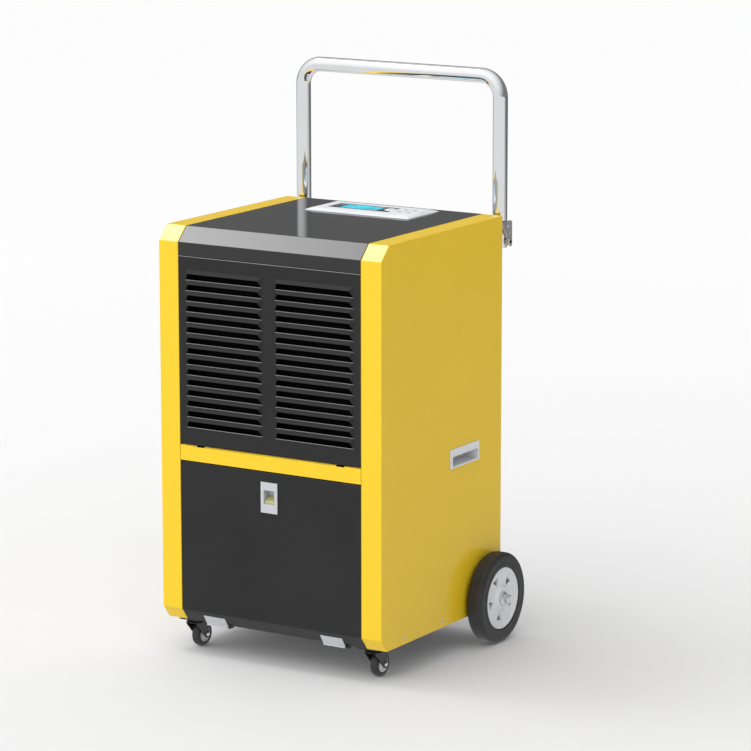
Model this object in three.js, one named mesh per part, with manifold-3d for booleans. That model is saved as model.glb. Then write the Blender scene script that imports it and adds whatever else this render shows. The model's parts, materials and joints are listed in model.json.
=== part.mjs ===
// A portable commercial dehumidifier: a sheet-metal cabinet on two front casters and two large
// rear wheels, with a fold-down push handle, a tilting air grille with its filter, a bottom-hinged
// tank door, a water tank that comes out behind the door, and the cooling circuit and fan inside.
//
// Units are millimetres. X runs to the right as seen from the front, Y from the front to the back,
// Z up. Sizes in the cabinet are counted from the middle of its width, from its front face and from
// its underside. The exported group puts the origin on the floor below the middle of the machine.
import * as THREE from "three";
import { mergeVertices } from "three/addons/utils/BufferGeometryUtils.js";
import Module from "manifold-3d";

const wasm = await Module();
wasm.setup();

// ---------------------------------------------------------------- driving dimensions

const CABINET = { width: 480, depth: 430, height: 743, floorGap: 62 };
const SHEET = 1.5; // sheet-metal thickness
const GAP = 0.3; // assembly gap between neighbouring pieces
const FRAME_WIDTH = 43; // width of the yellow frame on each side of the front
const TOP_CHAMFER = 27;
const FOOT_CHAMFER = { depth: 18, height: 24 };

const HALF = CABINET.width / 2;
const BAY = HALF - FRAME_WIDTH; // half width of the bay between the two yellow frames
const BAY_FIT = BAY - 0.6; // half width of a piece that fits in the bay
const TOP = CABINET.height;
const BACK = CABINET.depth;
const LIP_TOP = TOP - TOP_CHAMFER;

const DOOR = { top: 307, depth: 16, hingeY: 18, hingeZ: -3.2 };
const BAND = { bottom: 309, top: 339, depth: 22, round: 5 };
const GRILLE = { bottom: 340, top: 691.2, depth: 14, sheet: 2, pivotY: 2 };
const COVER = { lip: 692, backLip: 720 };
const FILTER = { x: [-186, 186], y: [15, 23], z: [352, 684], border: 12, bar: 5 };
const LOUVRE = {
  rows: 15, pitch: 19.64, lowest: 372.9, open: 11.7, proud: 5,
  inner: 14.5, outer: 181, taper: 6.5, web: 1.2, sheet: 1.5,
};
const TAB = {
  x: 152, width: 14, depth: 2, drop: 3.5, slotPlay: 1.5, slotY: [0.6, 9], slotDrop: 6.5,
};

const PULL = { bottom: 231.5, top: 289, half: 18, proud: 2.2, depth: 18 };
const PULL_OPENING = { bottom: 248.5, top: 273.7, half: 11.5 };
const LEAF = { x: 128.5, width: 47, thick: 1, top: 16, knuckle: 2.7, pin: 1.4, bore: 1.6 };
const LUG = { nose: 2.5, thick: 4.7, back: 30, footWidth: 13.7, footY: [26, 46], footThick: 1.7 };
const GRIP = { y: [239.5, 343.3], z: [295.5, 332], proud: 2, depth: 33 };
const GRIP_OPENING = { y: [247.5, 339], z: [298.6, 317.4], cavityTop: 326 };

const PANEL = { x: [-116, 113], y: [298, 412], topX: [-103, 103], topY: [310, 397], rise: 5 };
const PANEL_TUB = { x: [-104, 101], y: [309, 401], depth: 19 };
const SCREEN_FRAME = { x: [-83, 50], y: [328, 380], depth: 1.5 };
const SCREEN = { x: [-62, 20], y: [336, 376] };
const POWER_BUTTON = { x: 41, y: 356, radius: 9.5, collar: 12.5, rise: 1.2 };
const SET_BUTTON = { x: [68, 87], y: [341, 366], radius: 4.6, rise: 1 };

const HANDLE = { x: 218, y: 457, top: 999, tube: 14, wall: 1.5, bend: 40, foot: 678, pivotZ: 690 };
const BRACKET = { bottom: 679, top: 729, back: 472, thick: 3, hole: 3.5, holeZ: 719, earGap: 1.5 };
const PIVOT_BOLT = { radius: 4, bore: 4.25, headRadius: 7.5, head: 5 };

const WHEEL = { radius: 86.5, width: 33, inside: 244, y: 377, shoulder: 9, rim: 59 };
const WHEEL_OPENING = { count: 5, near: 27, far: 43, half: 9.5, start: (46 * Math.PI) / 180 };
const AXLE = { radius: 8, bore: 8.3, end: 274 };
const HUB_CAP = { radius: 13, collar: 2, cone: 5.5, tip: 8.5, edge: 1.5, length: 15 };
const CASTER = { x: 196.8, y: 44, trail: 19.7, radius: 24.3, width: 17, rim: 15.5, bore: 3.4 };
const FORK = { inner: 10.5, thick: 2, crown: 17, top: -8.4, plate: 2.6, axle: 3, foot: 6 };
const KINGPIN = { radius: 4, bore: 4.4, headRadius: 6.5, head: 2.5 };
const CASTER_PLATE = { x: 23, y: [-24, 36], thick: 3, raceway: 15, raceDepth: 8 };

const TRAY = { z: 312, wall: 24, spoutX: -40, spoutY: 140 };
const COIL = {
  half: 170, bottom: 318, top: 688, depth: 45, evaporatorY: 46, condenserY: 104,
  bends: 4, fins: 20, finThick: 1.5, core: 2,
};
const PIPE = { radius: 4, x: -181, hole: 7, bend: 9, run: 280 };
const SUCTION = { startZ: 372, downY: 250 };
const DISCHARGE = { startZ: 400, downY: 275 };
const FAN = { z: 540, mouth: 146, rotorY: [376, 406], blades: 5, tip: 139, hub: 32 };
const BLADE = { chord: 70, thick: 2, hubPitch: 0.62, twist: 0.36, rootWidth: 0.55, lean: 0.7 };
const SHROUD = {
  half: 190, top: 718, plateY: 384, sheet: 2, collarY: [374, 412], arm: 5, shaftRoom: 14,
};
const GUARD = { wire: 1.5, rings: 3, bars: 3, rim: 8, thick: 4 };
const MOTOR = { radius: 48, y: [300, 361.5], shaft: 5, shaftBore: 5.25 };
const COMPRESSOR = { x: -105, y: 300, radius: 62, bottom: 14, top: 246, dome: 26, wall: 12 };
const TANK = {
  half: 178, front: 50, back: 228, bottom: 16, top: 285, wall: 2.5, cut: 25, barY: [100, 118],
};
const FLOAT = { x: -50, pivotY: 216, pivotZ: 262, reach: 66, size: 40, height: 24, arm: 2, armX: 12 };
const CONTROL_BOX = { x: [60, 185], y: [245, 345], z: [20, 210], wall: 2 };

const FRONT_MOST = -LOUVRE.proud;
const MIDDLE_Y = (FRONT_MOST + BRACKET.back) / 2;

// Faces round a turned or swept piece.
const COARSE = 10;
const MEDIUM = 16;
const FINE = 24;

// ---------------------------------------------------------------- materials

const finish = (color, roughness, metalness) =>
  new THREE.MeshStandardMaterial({ color, roughness, metalness });

const YELLOW_PAINT = finish(0xf0cb3c, 0.38, 0.1);
const CHARCOAL_PAINT = finish(0x37373a, 0.42, 0.1);
const GLOSS_BLACK = finish(0x2a2a2c, 0.12, 0.1);
const LIGHT_GREY = finish(0xbdbfc4, 0.5, 0);
const DARK_PLASTIC = finish(0x242428, 0.6, 0);
const WHITE_PLASTIC = finish(0xe4e5e8, 0.4, 0);
const DARK_GLASS = finish(0x3a3f44, 0.1, 0);
const CYAN_SCREEN = finish(0x22d8ea, 0.3, 0);
const OLIVE_PLASTIC = finish(0xb5b583, 0.5, 0);
const CHROME = finish(0xd6d8da, 0.08, 1);
const ZINC = finish(0x9a9c9f, 0.4, 0.9);
const RUBBER = finish(0x3a3a3a, 0.8, 0);
const BLACK_STEEL = finish(0x1c1c1e, 0.45, 0.4);
const COPPER = finish(0xb8713f, 0.3, 1);
const FINS = finish(0xb4b9be, 0.4, 0.9);
const CLEAR_GREY = finish(0xc9d3d8, 0.3, 0);

// ---------------------------------------------------------------- solids

// A closed three.js geometry as a solid that can be joined and cut.
function solid(geometry) {
  const bare = new THREE.BufferGeometry();
  bare.setAttribute("position", geometry.getAttribute("position"));
  bare.setIndex(geometry.index);
  const merged = mergeVertices(bare, 1e-4);
  return new wasm.Manifold(
    new wasm.Mesh({
      numProp: 3,
      vertProperties: merged.attributes.position.array,
      triVerts: new Uint32Array(merged.index.array),
    }),
  );
}

// The geometry of a solid.
function geometryOf(body) {
  const { vertProperties, triVerts } = body.getMesh();
  const geometry = new THREE.BufferGeometry();
  geometry.setAttribute("position", new THREE.BufferAttribute(vertProperties, 3));
  geometry.setIndex(new THREE.BufferAttribute(triVerts, 1));
  geometry.computeVertexNormals();
  return geometry;
}

const join = (...pieces) => geometryOf(pieces.map(solid).reduce((a, b) => a.add(b)));
const cut = (body, ...tools) =>
  geometryOf(tools.map(solid).reduce((a, b) => a.subtract(b), solid(body)));

// A box between two limits on each axis.
function block([x0, x1], [y0, y1], [z0, z1]) {
  const box = new THREE.BoxGeometry(x1 - x0, y1 - y0, z1 - z0);
  return box.translate((x0 + x1) / 2, (y0 + y1) / 2, (z0 + z1) / 2);
}

// Turns that carry a shape's own x, y and extrusion directions onto the machine's axes.
const basis = (x, y, z) => new THREE.Matrix4().makeBasis(...[x, y, z].map((v) => new THREE.Vector3(...v)));
const SIDEWAYS = basis([0, 1, 0], [0, 0, 1], [1, 0, 0]); // an outline in Y and Z, extruded along X
const TURN = {
  x: basis([0, -1, 0], [1, 0, 0], [0, 0, 1]),
  y: basis([1, 0, 0], [0, 1, 0], [0, 0, 1]),
  z: basis([1, 0, 0], [0, 0, 1], [0, -1, 0]),
};

const shapeOf = (points) => new THREE.Shape(points.map(([a, b]) => new THREE.Vector2(a, b)));
const thick = (shape, depth, curveSegments = 6) =>
  new THREE.ExtrudeGeometry(shape, { depth, bevelEnabled: false, curveSegments });

// A prism on an outline in Y and Z, from x0 to x1.
function prismX(outline, [x0, x1], curveSegments) {
  const shape = outline instanceof THREE.Shape ? outline : shapeOf(outline);
  return thick(shape, x1 - x0, curveSegments).applyMatrix4(SIDEWAYS).translate(x0, 0, 0);
}

// A prism on an outline in X and Y, from z0 to z1.
function prismZ(outline, [z0, z1], curveSegments) {
  const shape = outline instanceof THREE.Shape ? outline : shapeOf(outline);
  return thick(shape, z1 - z0, curveSegments).translate(0, 0, z0);
}

// A turned piece. The profile is [radius, place along the axis], rising along the axis on its outside.
// With flats the polygon that stands for a circle has flat sides at its top and bottom.
function turned(axis, profile, faces, [x, y, z] = [0, 0, 0], flats = false) {
  const points = profile.map(([radius, along]) => new THREE.Vector2(radius, along));
  const lathe = new THREE.LatheGeometry(points, faces);
  if (flats) lathe.rotateY(Math.PI / faces);
  return lathe.applyMatrix4(TURN[axis]).translate(x, y, z);
}

// A plain rod from one place to another along an axis through a point.
function rod(axis, radius, [from, to], centre, faces = COARSE) {
  return turned(axis, [[0, from], [radius, from], [radius, to], [0, to]], faces, centre);
}

// A tube with open ends, along an axis.
function sleeve(axis, [bore, radius], [from, to], centre, faces = MEDIUM) {
  const profile = [[bore, from], [radius, from], [radius, to], [bore, to], [bore, from]];
  return turned(axis, profile, faces, centre);
}

// The same convex outline with every side moved inwards. Points run anticlockwise or clockwise.
function inset(outline, distance) {
  const area = outline.reduce((sum, [a, b], i) => {
    const [c, d] = outline[(i + 1) % outline.length];
    return sum + a * d - b * c;
  }, 0);
  const turn = Math.sign(area);
  const sides = outline.map(([a, b], i) => {
    const [c, d] = outline[(i + 1) % outline.length];
    const length = Math.hypot(c - a, d - b);
    const normal = [(-turn * (d - b)) / length, (turn * (c - a)) / length];
    return { normal, offset: normal[0] * a + normal[1] * b + distance };
  });
  return sides.map((side, i) => {
    const before = sides[(i + sides.length - 1) % sides.length];
    const [p, q] = before.normal;
    const [r, s] = side.normal;
    const scale = p * s - q * r;
    return [(before.offset * s - side.offset * q) / scale, (side.offset * p - before.offset * r) / scale];
  });
}

// Limits moved outwards, or inwards by a distance below nought.
const grow = ([low, high], by) => [low - by, high + by];

// The limits on the X axis of something between two distances from the middle, on one side.
const onSide = (side, near, far) => (side > 0 ? [near, far] : [-far, -near]);

// A path through fixed stations, each with its point and direction, for sweeping a tube.
class StationPath extends THREE.Curve {
  constructor(stations) {
    super();
    this.stations = stations;
  }

  station(t) {
    return this.stations[Math.round(t * (this.stations.length - 1))];
  }

  getPoint(t) {
    return this.station(t).point.clone();
  }

  getPointAt(t) {
    return this.getPoint(t);
  }

  getTangentAt(t, target = new THREE.Vector3()) {
    return target.copy(this.station(t).direction);
  }
}

// A path along straight runs, with each corner rounded to a radius in a number of steps.
function roundedPath(corners, radius, steps) {
  const points = corners.map((corner) => new THREE.Vector3(...corner));
  const along = points.slice(1).map((point, i) => point.clone().sub(points[i]).normalize());
  const stations = [{ point: points[0], direction: along[0] }];
  for (let i = 1; i < points.length - 1; i++) {
    const [inward, outward] = [along[i - 1], along[i]];
    const angle = inward.angleTo(outward);
    const start = points[i].clone().addScaledVector(inward, -radius * Math.tan(angle / 2));
    const across = outward.clone().addScaledVector(inward, -Math.cos(angle)).normalize();
    for (let k = 0; k <= steps; k++) {
      const turn = (angle * k) / steps;
      const point = start.clone().addScaledVector(inward, radius * Math.sin(turn));
      point.addScaledVector(across, radius * (1 - Math.cos(turn)));
      const direction = inward.clone().multiplyScalar(Math.cos(turn));
      direction.addScaledVector(across, Math.sin(turn));
      stations.push({ point, direction });
    }
  }
  stations.push({ point: points.at(-1), direction: along.at(-1) });
  return new StationPath(stations);
}

// A tube swept along a path, solid or with a bore.
function swept(path, radius, faces, bore = 0) {
  const shape = new THREE.Shape().absarc(0, 0, radius, 0, 2 * Math.PI, false);
  if (bore) shape.holes.push(new THREE.Path().absarc(0, 0, bore, 0, 2 * Math.PI, true));
  const options = { extrudePath: path, steps: path.stations.length - 1, curveSegments: faces / 2 };
  return new THREE.ExtrudeGeometry(shape, { ...options, bevelEnabled: false });
}

// An outline with rounded corners, between two limits on each of its axes.
function roundedRectangle([a0, a1], [b0, b1], radius) {
  const shape = new THREE.Shape();
  shape.absarc(a1 - radius, b0 + radius, radius, -Math.PI / 2, 0, false);
  shape.absarc(a1 - radius, b1 - radius, radius, 0, Math.PI / 2, false);
  shape.absarc(a0 + radius, b1 - radius, radius, Math.PI / 2, Math.PI, false);
  shape.absarc(a0 + radius, b0 + radius, radius, Math.PI, (3 * Math.PI) / 2, false);
  return shape;
}

// A named piece of the machine.
function piece(name, geometry, material) {
  const mesh = new THREE.Mesh(geometry, material);
  mesh.name = name;
  return mesh;
}

const SIDES = [["left", -1], ["right", 1]];

// ---------------------------------------------------------------- cabinet shell

// The side view of the whole cabinet, clockwise from the foot of the front chamfer.
const SIDE_OUTLINE = [
  [FOOT_CHAMFER.depth, 0],
  [0, FOOT_CHAMFER.height],
  [0, LIP_TOP],
  [TOP_CHAMFER, TOP],
  [BACK, TOP],
  [BACK, 0],
];

// A yellow side: a flat sheet with its rim turned in along the front, the top and the back.
function sidePanel(name, side) {
  const whole = prismX(SIDE_OUTLINE, onSide(side, BAY, HALF));
  const hollow = prismX(inset(SIDE_OUTLINE, SHEET), onSide(side, BAY - 1, HALF - SHEET));
  const mouthY = [FOOT_CHAMFER.depth + 2, BACK - SHEET];
  const mouth = block(onSide(side, BAY - 1, HALF - SHEET), mouthY, [-1, 2 * SHEET]);
  const through = onSide(side, HALF - 5, HALF + 5);
  const gripHole = block(through, grow(gripCup().y, 0.5), grow(gripCup().z, 0.5));
  const axleHole = rod("x", AXLE.radius + 1.5, through, [0, WHEEL.y, axleHeight()], MEDIUM);
  return piece(name, cut(whole, hollow, mouth, gripHole, axleHole), YELLOW_PAINT);
}

// The limits of the grip's cup, which goes through the side.
function gripCup() {
  const y = [GRIP_OPENING.y[0] - 2.5, GRIP_OPENING.y[1] + 2];
  const z = [GRIP_OPENING.z[0] - 2, GRIP_OPENING.cavityTop + 4];
  return { y, z };
}

// Height of the rear axle above the cabinet's underside.
function axleHeight() {
  return WHEEL.radius - CABINET.floorGap;
}

// The black top: front lip, chamfer, flat top and back lip in one bent sheet, open for the controls.
function topCover() {
  const step = SHEET * (Math.SQRT2 - 1);
  const section = [
    [0, COVER.lip],
    [0, LIP_TOP],
    [TOP_CHAMFER, TOP],
    [BACK, TOP],
    [BACK, COVER.backLip],
    [BACK - SHEET, COVER.backLip],
    [BACK - SHEET, TOP - SHEET],
    [TOP_CHAMFER + step, TOP - SHEET],
    [SHEET, LIP_TOP - step],
    [SHEET, COVER.lip],
  ];
  const sheet = prismX(section, [-BAY_FIT, BAY_FIT]);
  const opening = block(grow(PANEL_TUB.x, 1), grow(PANEL_TUB.y, 1), grow([TOP, TOP], 5));
  return piece("top_cover", cut(sheet, opening), GLOSS_BLACK);
}

// The limits of a locating tab of the grille across the machine.
const tabX = (side) => grow([side * TAB.x, side * TAB.x], TAB.width / 2);

// The yellow crossbar between the grille and the door, with two slots for the grille's tabs.
function centreBand() {
  const bar = (by) => {
    const shape = new THREE.Shape();
    const [front, back] = [by, BAND.depth - by];
    const [low, high] = grow([BAND.bottom, BAND.top], -by);
    const round = BAND.round - by;
    shape.moveTo(front, low);
    shape.lineTo(back, low);
    shape.lineTo(back, high);
    shape.lineTo(front + round, high);
    shape.absarc(front + round, high - round, round, Math.PI / 2, Math.PI, false);
    return shape;
  };
  const outside = prismX(bar(0), [-BAY_FIT, BAY_FIT], 8);
  const inside = prismX(bar(SHEET), [-HALF, HALF], 8);
  const slots = [-1, 1].map((side) =>
    block(grow(tabX(side), TAB.slotPlay), TAB.slotY, [BAND.top - TAB.slotDrop, BAND.top + 1]),
  );
  return piece("centre_band", cut(outside, inside, ...slots), YELLOW_PAINT);
}

// The black back with the round air outlet.
function rearPanel() {
  const sheet = block([-BAY_FIT, BAY_FIT], [BACK - SHEET, BACK], [GAP, COVER.backLip - GAP]);
  const outlet = rod("y", FAN.mouth, [BACK - 5, BACK + 5], [0, 0, FAN.z], FINE);
  return piece("rear_panel", cut(sheet, outlet), CHARCOAL_PAINT);
}

// A rim, three inner rings and three crossing bars over the air outlet.
function outletGuard() {
  const { wire, rings, bars, rim, thick: depth } = GUARD;
  const y = [BACK + GAP, BACK + depth];
  const centre = [0, 0, FAN.z];
  const hoops = [];
  for (let k = 1; k <= rings; k++) {
    const radius = (k * FAN.mouth) / (rings + 1);
    hoops.push(sleeve("y", [radius - wire, radius + wire], y, centre));
  }
  const edge = sleeve("y", [FAN.mouth + 2, FAN.mouth + 2 + rim], y, centre, FINE);
  const reach = FAN.mouth + rim / 2;
  const spokes = [];
  for (let k = 0; k < bars; k++) {
    const bar = block([-reach, reach], grow(y, -wire / 4), [-wire, wire]);
    spokes.push(bar.rotateY((k * Math.PI) / bars).translate(...centre));
  }
  return piece("outlet_guard", join(edge, ...hoops, ...spokes), BLACK_STEEL);
}

const PAN_FLOOR = 2; // thickness of the floor pan
const PAN_WALL = 40; // height of its turned-up sides
const RUNNER = { x: [112, 128], y: [52, 226] };

// The floor of the cabinet: a pan with turned-up sides that carry the axle, and two tank runners.
function baseTray() {
  const edge = HALF - SHEET - GAP;
  const y = [BAND.depth, BACK - SHEET - GAP];
  const wall = [0, PAN_WALL];
  const floor = block([-edge, edge], y, [0, PAN_FLOOR]);
  const sides = [-1, 1].map((side) => block(onSide(side, edge - SHEET, edge), y, wall));
  const back = block([-edge, edge], [y[1] - SHEET, y[1]], wall);
  const runners = [-1, 1].map((side) =>
    block(onSide(side, ...RUNNER.x), RUNNER.y, [PAN_FLOOR - 1, TANK.bottom - GAP]),
  );
  const axleHole = rod("x", AXLE.radius + 0.4, [-HALF, HALF], [0, WHEEL.y, axleHeight()], MEDIUM);
  return piece("base_tray", cut(join(floor, back, ...sides, ...runners), axleHole), BLACK_STEEL);
}

// A recessed carrying grip, moulded in one piece with its frame, with a lip to hold under.
function sideGrip(name, side) {
  const face = onSide(side, HALF + GAP, HALF + GAP + GRIP.proud);
  const frame = block(face, GRIP.y, GRIP.z);
  const cup = block(onSide(side, HALF - GRIP.depth, HALF + 1), gripCup().y, gripCup().z);
  const mouth = block(onSide(side, HALF - 5, HALF + 5), GRIP_OPENING.y, GRIP_OPENING.z);
  const cavityZ = [GRIP_OPENING.z[0], GRIP_OPENING.cavityTop];
  const cavity = block(onSide(side, HALF - GRIP.depth + 2, HALF - 2), GRIP_OPENING.y, cavityZ);
  return piece(name, cut(join(frame, cup), mouth, cavity), WHITE_PLASTIC);
}

// ---------------------------------------------------------------- front

// One pressed louvre: a sloping blade with tapered cheeks, proud of the sheet and open below.
function louvre([left, right], slit) {
  const overlap = 0.4;
  const top = slit + LOUVRE.pitch - LOUVRE.web + overlap;
  const lip = slit + LOUVRE.open;
  const corners = [
    [left - overlap, 0, slit],
    [left - overlap, 0, top],
    [right + overlap, 0, top],
    [right + overlap, 0, slit],
    [right - LOUVRE.taper, -LOUVRE.proud, lip],
    [left + LOUVRE.taper, -LOUVRE.proud, lip],
  ];
  const inner = corners.map(([x, y, z]) => [x, y + LOUVRE.sheet, z]);
  const count = corners.length;
  const faces = [[0, 5, 1], [5, 4, 2], [5, 2, 1], [3, 2, 4]];
  const triangles = faces.flatMap(([a, b, c]) => [a, b, c, a + count, c + count, b + count]);
  const rim = [0, 5, 4, 3, 2, 1];
  rim.forEach((a, i) => {
    const b = rim[(i + 1) % count];
    triangles.push(b, a, a + count, b, a + count, b + count);
  });
  const geometry = new THREE.BufferGeometry();
  const places = new Float32Array([...corners, ...inner].flat());
  geometry.setAttribute("position", new THREE.BufferAttribute(places, 3));
  geometry.setIndex(triangles);
  return geometry;
}

// The louvred intake grille: a shallow tray with two columns of louvres and two locating tabs.
function frontGrille() {
  const z = [GRILLE.bottom, GRILLE.top];
  const width = [-BAY_FIT, BAY_FIT];
  const body = block(width, [0, GRILLE.depth], z);
  const pocketY = [GRILLE.sheet, GRILLE.depth + 1];
  const pocket = block(grow(width, -GRILLE.sheet), pocketY, grow(z, -GRILLE.sheet));
  const slots = [];
  const blades = [];
  for (const side of [-1, 1]) {
    const column = onSide(side, LOUVRE.inner, LOUVRE.outer);
    for (let row = 0; row < LOUVRE.rows; row++) {
      const slit = LOUVRE.lowest + row * LOUVRE.pitch;
      slots.push(block(column, [-1, GRILLE.sheet + 1], [slit, slit + LOUVRE.pitch - LOUVRE.web]));
      blades.push(louvre(column, slit));
    }
  }
  const tabY = grow([GRILLE.pivotY, GRILLE.pivotY], TAB.depth / 2);
  const tabZ = [GRILLE.bottom - TAB.drop, GRILLE.bottom + 1];
  const tabs = [-1, 1].map((side) => block(tabX(side), tabY, tabZ));
  return piece("front_grille", join(cut(body, pocket, ...slots), ...blades, ...tabs), CHARCOAL_PAINT);
}

// The washable air filter clipped behind the grille: a frame, a mesh and its stiffening bars.
function airFilter() {
  const { x, y, z, border, bar } = FILTER;
  const frame = cut(block(x, y, z), block(grow(x, -border), grow(y, 1), grow(z, -border)));
  const mesh = block(grow(x, -2), [y[0] + 3, y[0] + 4], grow(z, -2));
  const middle = (z[0] + z[1]) / 2;
  const upright = block([-bar / 2, bar / 2], grow(y, -1), z);
  const across = block(x, grow(y, -1), [middle - bar / 2, middle + bar / 2]);
  return piece("air_filter", join(frame, mesh, upright, across), DARK_PLASTIC);
}

// The black tank door: a pan whose lower edge follows the foot chamfer.
function tankDoor() {
  const slope = FOOT_CHAMFER.height / FOOT_CHAMFER.depth;
  const outline = [
    [FOOT_CHAMFER.depth, 0],
    [0, FOOT_CHAMFER.height],
    [0, DOOR.top],
    [DOOR.depth, DOOR.top],
    [DOOR.depth, 5],
    [FOOT_CHAMFER.depth + 1.5, 0],
  ];
  const reach = 40;
  const startZ = FOOT_CHAMFER.height + SHEET / 3;
  const hollow = [
    [SHEET, startZ],
    [SHEET, DOOR.top - SHEET],
    [reach, DOOR.top - SHEET],
    [reach, startZ - slope * (reach - SHEET)],
  ];
  const cheek = BAY_FIT - SHEET;
  const pullHole = block(
    [-PULL.half + 2.5, PULL.half - 2.5],
    [-1, SHEET + 1],
    [PULL.bottom + 2.5, PULL.top - 2.5],
  );
  const pan = cut(prismX(outline, [-BAY_FIT, BAY_FIT]), prismX(hollow, [-cheek, cheek]), pullHole);
  return piece("tank_door", pan, CHARCOAL_PAINT);
}

// The finger pull set in the door: a grey frame with a cup behind it.
function doorPull() {
  const frame = block([-PULL.half, PULL.half], [-PULL.proud, -GAP], [PULL.bottom, PULL.top]);
  const cupX = [-PULL.half + 3, PULL.half - 3];
  const cup = block(cupX, [-PULL.proud / 2, PULL.depth], [PULL.bottom + 3, PULL.top - 3]);
  const opening = block(
    [-PULL_OPENING.half, PULL_OPENING.half],
    [-PULL.proud - 1, PULL.depth - 2],
    [PULL_OPENING.bottom, PULL_OPENING.top],
  );
  return piece("door_pull_bezel", cut(join(frame, cup), opening), LIGHT_GREY);
}

// The coloured wedge that lies in the bottom of the pull.
function doorPullInsert() {
  const [front, back] = [GAP, PULL.depth - 2 - GAP];
  const floor = PULL_OPENING.bottom + GAP;
  const wedge = [[front, floor], [back, floor], [back, floor + 12], [front, floor + 5]];
  const half = PULL_OPENING.half - GAP;
  return piece("door_pull_insert", prismX(wedge, [-half, half]), OLIVE_PLASTIC);
}

// The door half of a hinge: a plate on the foot chamfer, ending in a knuckle round the pin.
function hingeLeaf(name, side) {
  const middle = side * LEAF.x;
  const x = [middle - LEAF.width / 2, middle + LEAF.width / 2];
  const slope = FOOT_CHAMFER.height / FOOT_CHAMFER.depth;
  const length = Math.hypot(FOOT_CHAMFER.depth, FOOT_CHAMFER.height);
  const outward = [-FOOT_CHAMFER.height / length, -FOOT_CHAMFER.depth / length];
  const place = (y, z, lift) => [y + outward[0] * lift, z + outward[1] * lift];
  const topY = (FOOT_CHAMFER.height - LEAF.top) / slope;
  const near = GAP / 2;
  const far = near + LEAF.thick;
  const plate = prismX(
    [
      place(topY, LEAF.top, near),
      place(topY, LEAF.top, far),
      [DOOR.hingeY - 1.2, DOOR.hingeZ],
      [DOOR.hingeY, DOOR.hingeZ],
      place(FOOT_CHAMFER.depth, 0, near),
    ],
    x,
  );
  const centre = [0, DOOR.hingeY, DOOR.hingeZ];
  const knuckle = rod("x", LEAF.knuckle, x, centre, COARSE);
  const bore = rod("x", LEAF.bore, [x[0] - 1, x[1] + 1], centre, COARSE);
  return piece(name, cut(join(plate, knuckle), bore), LIGHT_GREY);
}

// The cabinet half of a hinge: a pin in a round-nosed lug that is welded under the floor pan.
function hingePin(name, side) {
  const right = side * LEAF.x + LEAF.width / 2;
  const left = right - LEAF.width;
  const centre = [0, DOOR.hingeY, DOOR.hingeZ];
  const start = right + GAP;
  const lugX = [start, start + LUG.thick];
  const pin = rod("x", LEAF.pin, [left - 2, start + 1], centre);
  const nose = rod("x", LUG.nose, lugX, centre, MEDIUM);
  const lug = block(lugX, [DOOR.hingeY, LUG.back], [DOOR.hingeZ - LUG.nose, DOOR.hingeZ + LUG.nose]);
  const foot = block([start, start + LUG.footWidth], LUG.footY, [-GAP - LUG.footThick, -GAP]);
  return piece(name, join(pin, nose, lug, foot), BLACK_STEEL);
}

// ---------------------------------------------------------------- controls

// A six-sided block that narrows from its lower rectangle to its upper one.
function tapered([lowX, lowY, z0], [highX, highY, z1]) {
  const box = block(lowX, lowY, [z0, z1]);
  const places = box.getAttribute("position");
  for (let i = 0; i < places.count; i++) {
    if (places.getZ(i) < (z0 + z1) / 2) continue;
    places.setX(i, places.getX(i) < (lowX[0] + lowX[1]) / 2 ? highX[0] : highX[1]);
    places.setY(i, places.getY(i) < (lowY[0] + lowY[1]) / 2 ? highY[0] : highY[1]);
  }
  return box;
}

const PANEL_TOP = TOP + PANEL.rise;
const BUTTON_DEPTH = 6; // how far a button reaches into the control panel
const BUTTON_CLEARANCE = 0.4;

// The four small buttons' centres.
const setButtonPlaces = () => SET_BUTTON.y.flatMap((y) => SET_BUTTON.x.map((x) => [x, y, 0]));

// The raised control housing with its recess, its button wells and the tub through the top.
function controlBezel() {
  const hood = tapered([PANEL.x, PANEL.y, TOP + GAP], [PANEL.topX, PANEL.topY, PANEL_TOP]);
  const tub = block(PANEL_TUB.x, PANEL_TUB.y, [TOP - PANEL_TUB.depth, TOP + 1]);
  const insideZ = [TOP - PANEL_TUB.depth - 1, PANEL_TOP - SCREEN_FRAME.depth - 2];
  const inside = block(grow(PANEL_TUB.x, -2), grow(PANEL_TUB.y, -2), insideZ);
  const recess = block(SCREEN_FRAME.x, SCREEN_FRAME.y, [PANEL_TOP - SCREEN_FRAME.depth, PANEL_TOP + 1]);
  const power = [POWER_BUTTON.x, POWER_BUTTON.y, 0];
  const collar = rod("z", POWER_BUTTON.collar, [PANEL_TOP - 3, PANEL_TOP], power, MEDIUM);
  const wellDepth = [PANEL_TOP - BUTTON_DEPTH - 1, PANEL_TOP + 1];
  const wells = [
    rod("z", POWER_BUTTON.radius + BUTTON_CLEARANCE, wellDepth, power, MEDIUM),
    ...setButtonPlaces().map((at) => rod("z", SET_BUTTON.radius + BUTTON_CLEARANCE, wellDepth, at)),
  ];
  const housing = cut(join(hood, tub), inside, recess);
  return piece("control_bezel", cut(join(housing, collar), ...wells), WHITE_PLASTIC);
}

// The dark window round the screen, cut away for the screen and for the power button's collar.
function screenFrame() {
  const z = [PANEL_TOP - SCREEN_FRAME.depth + GAP / 2, PANEL_TOP - GAP];
  const plate = block(grow(SCREEN_FRAME.x, -GAP), grow(SCREEN_FRAME.y, -GAP), z);
  const hole = block(SCREEN.x, SCREEN.y, [z[0] - 1, z[1] + 1]);
  const collar = rod(
    "z",
    POWER_BUTTON.collar + GAP,
    [z[0] - 1, z[1] + 1],
    [POWER_BUTTON.x, POWER_BUTTON.y, 0],
    MEDIUM,
  );
  return piece("screen_frame", cut(plate, hole, collar), DARK_GLASS);
}

function lcdScreen() {
  const z = [PANEL_TOP - SCREEN_FRAME.depth + GAP / 2, PANEL_TOP - 2 * GAP];
  return piece("lcd_screen", block(grow(SCREEN.x, -GAP), grow(SCREEN.y, -GAP), z), CYAN_SCREEN);
}

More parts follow.
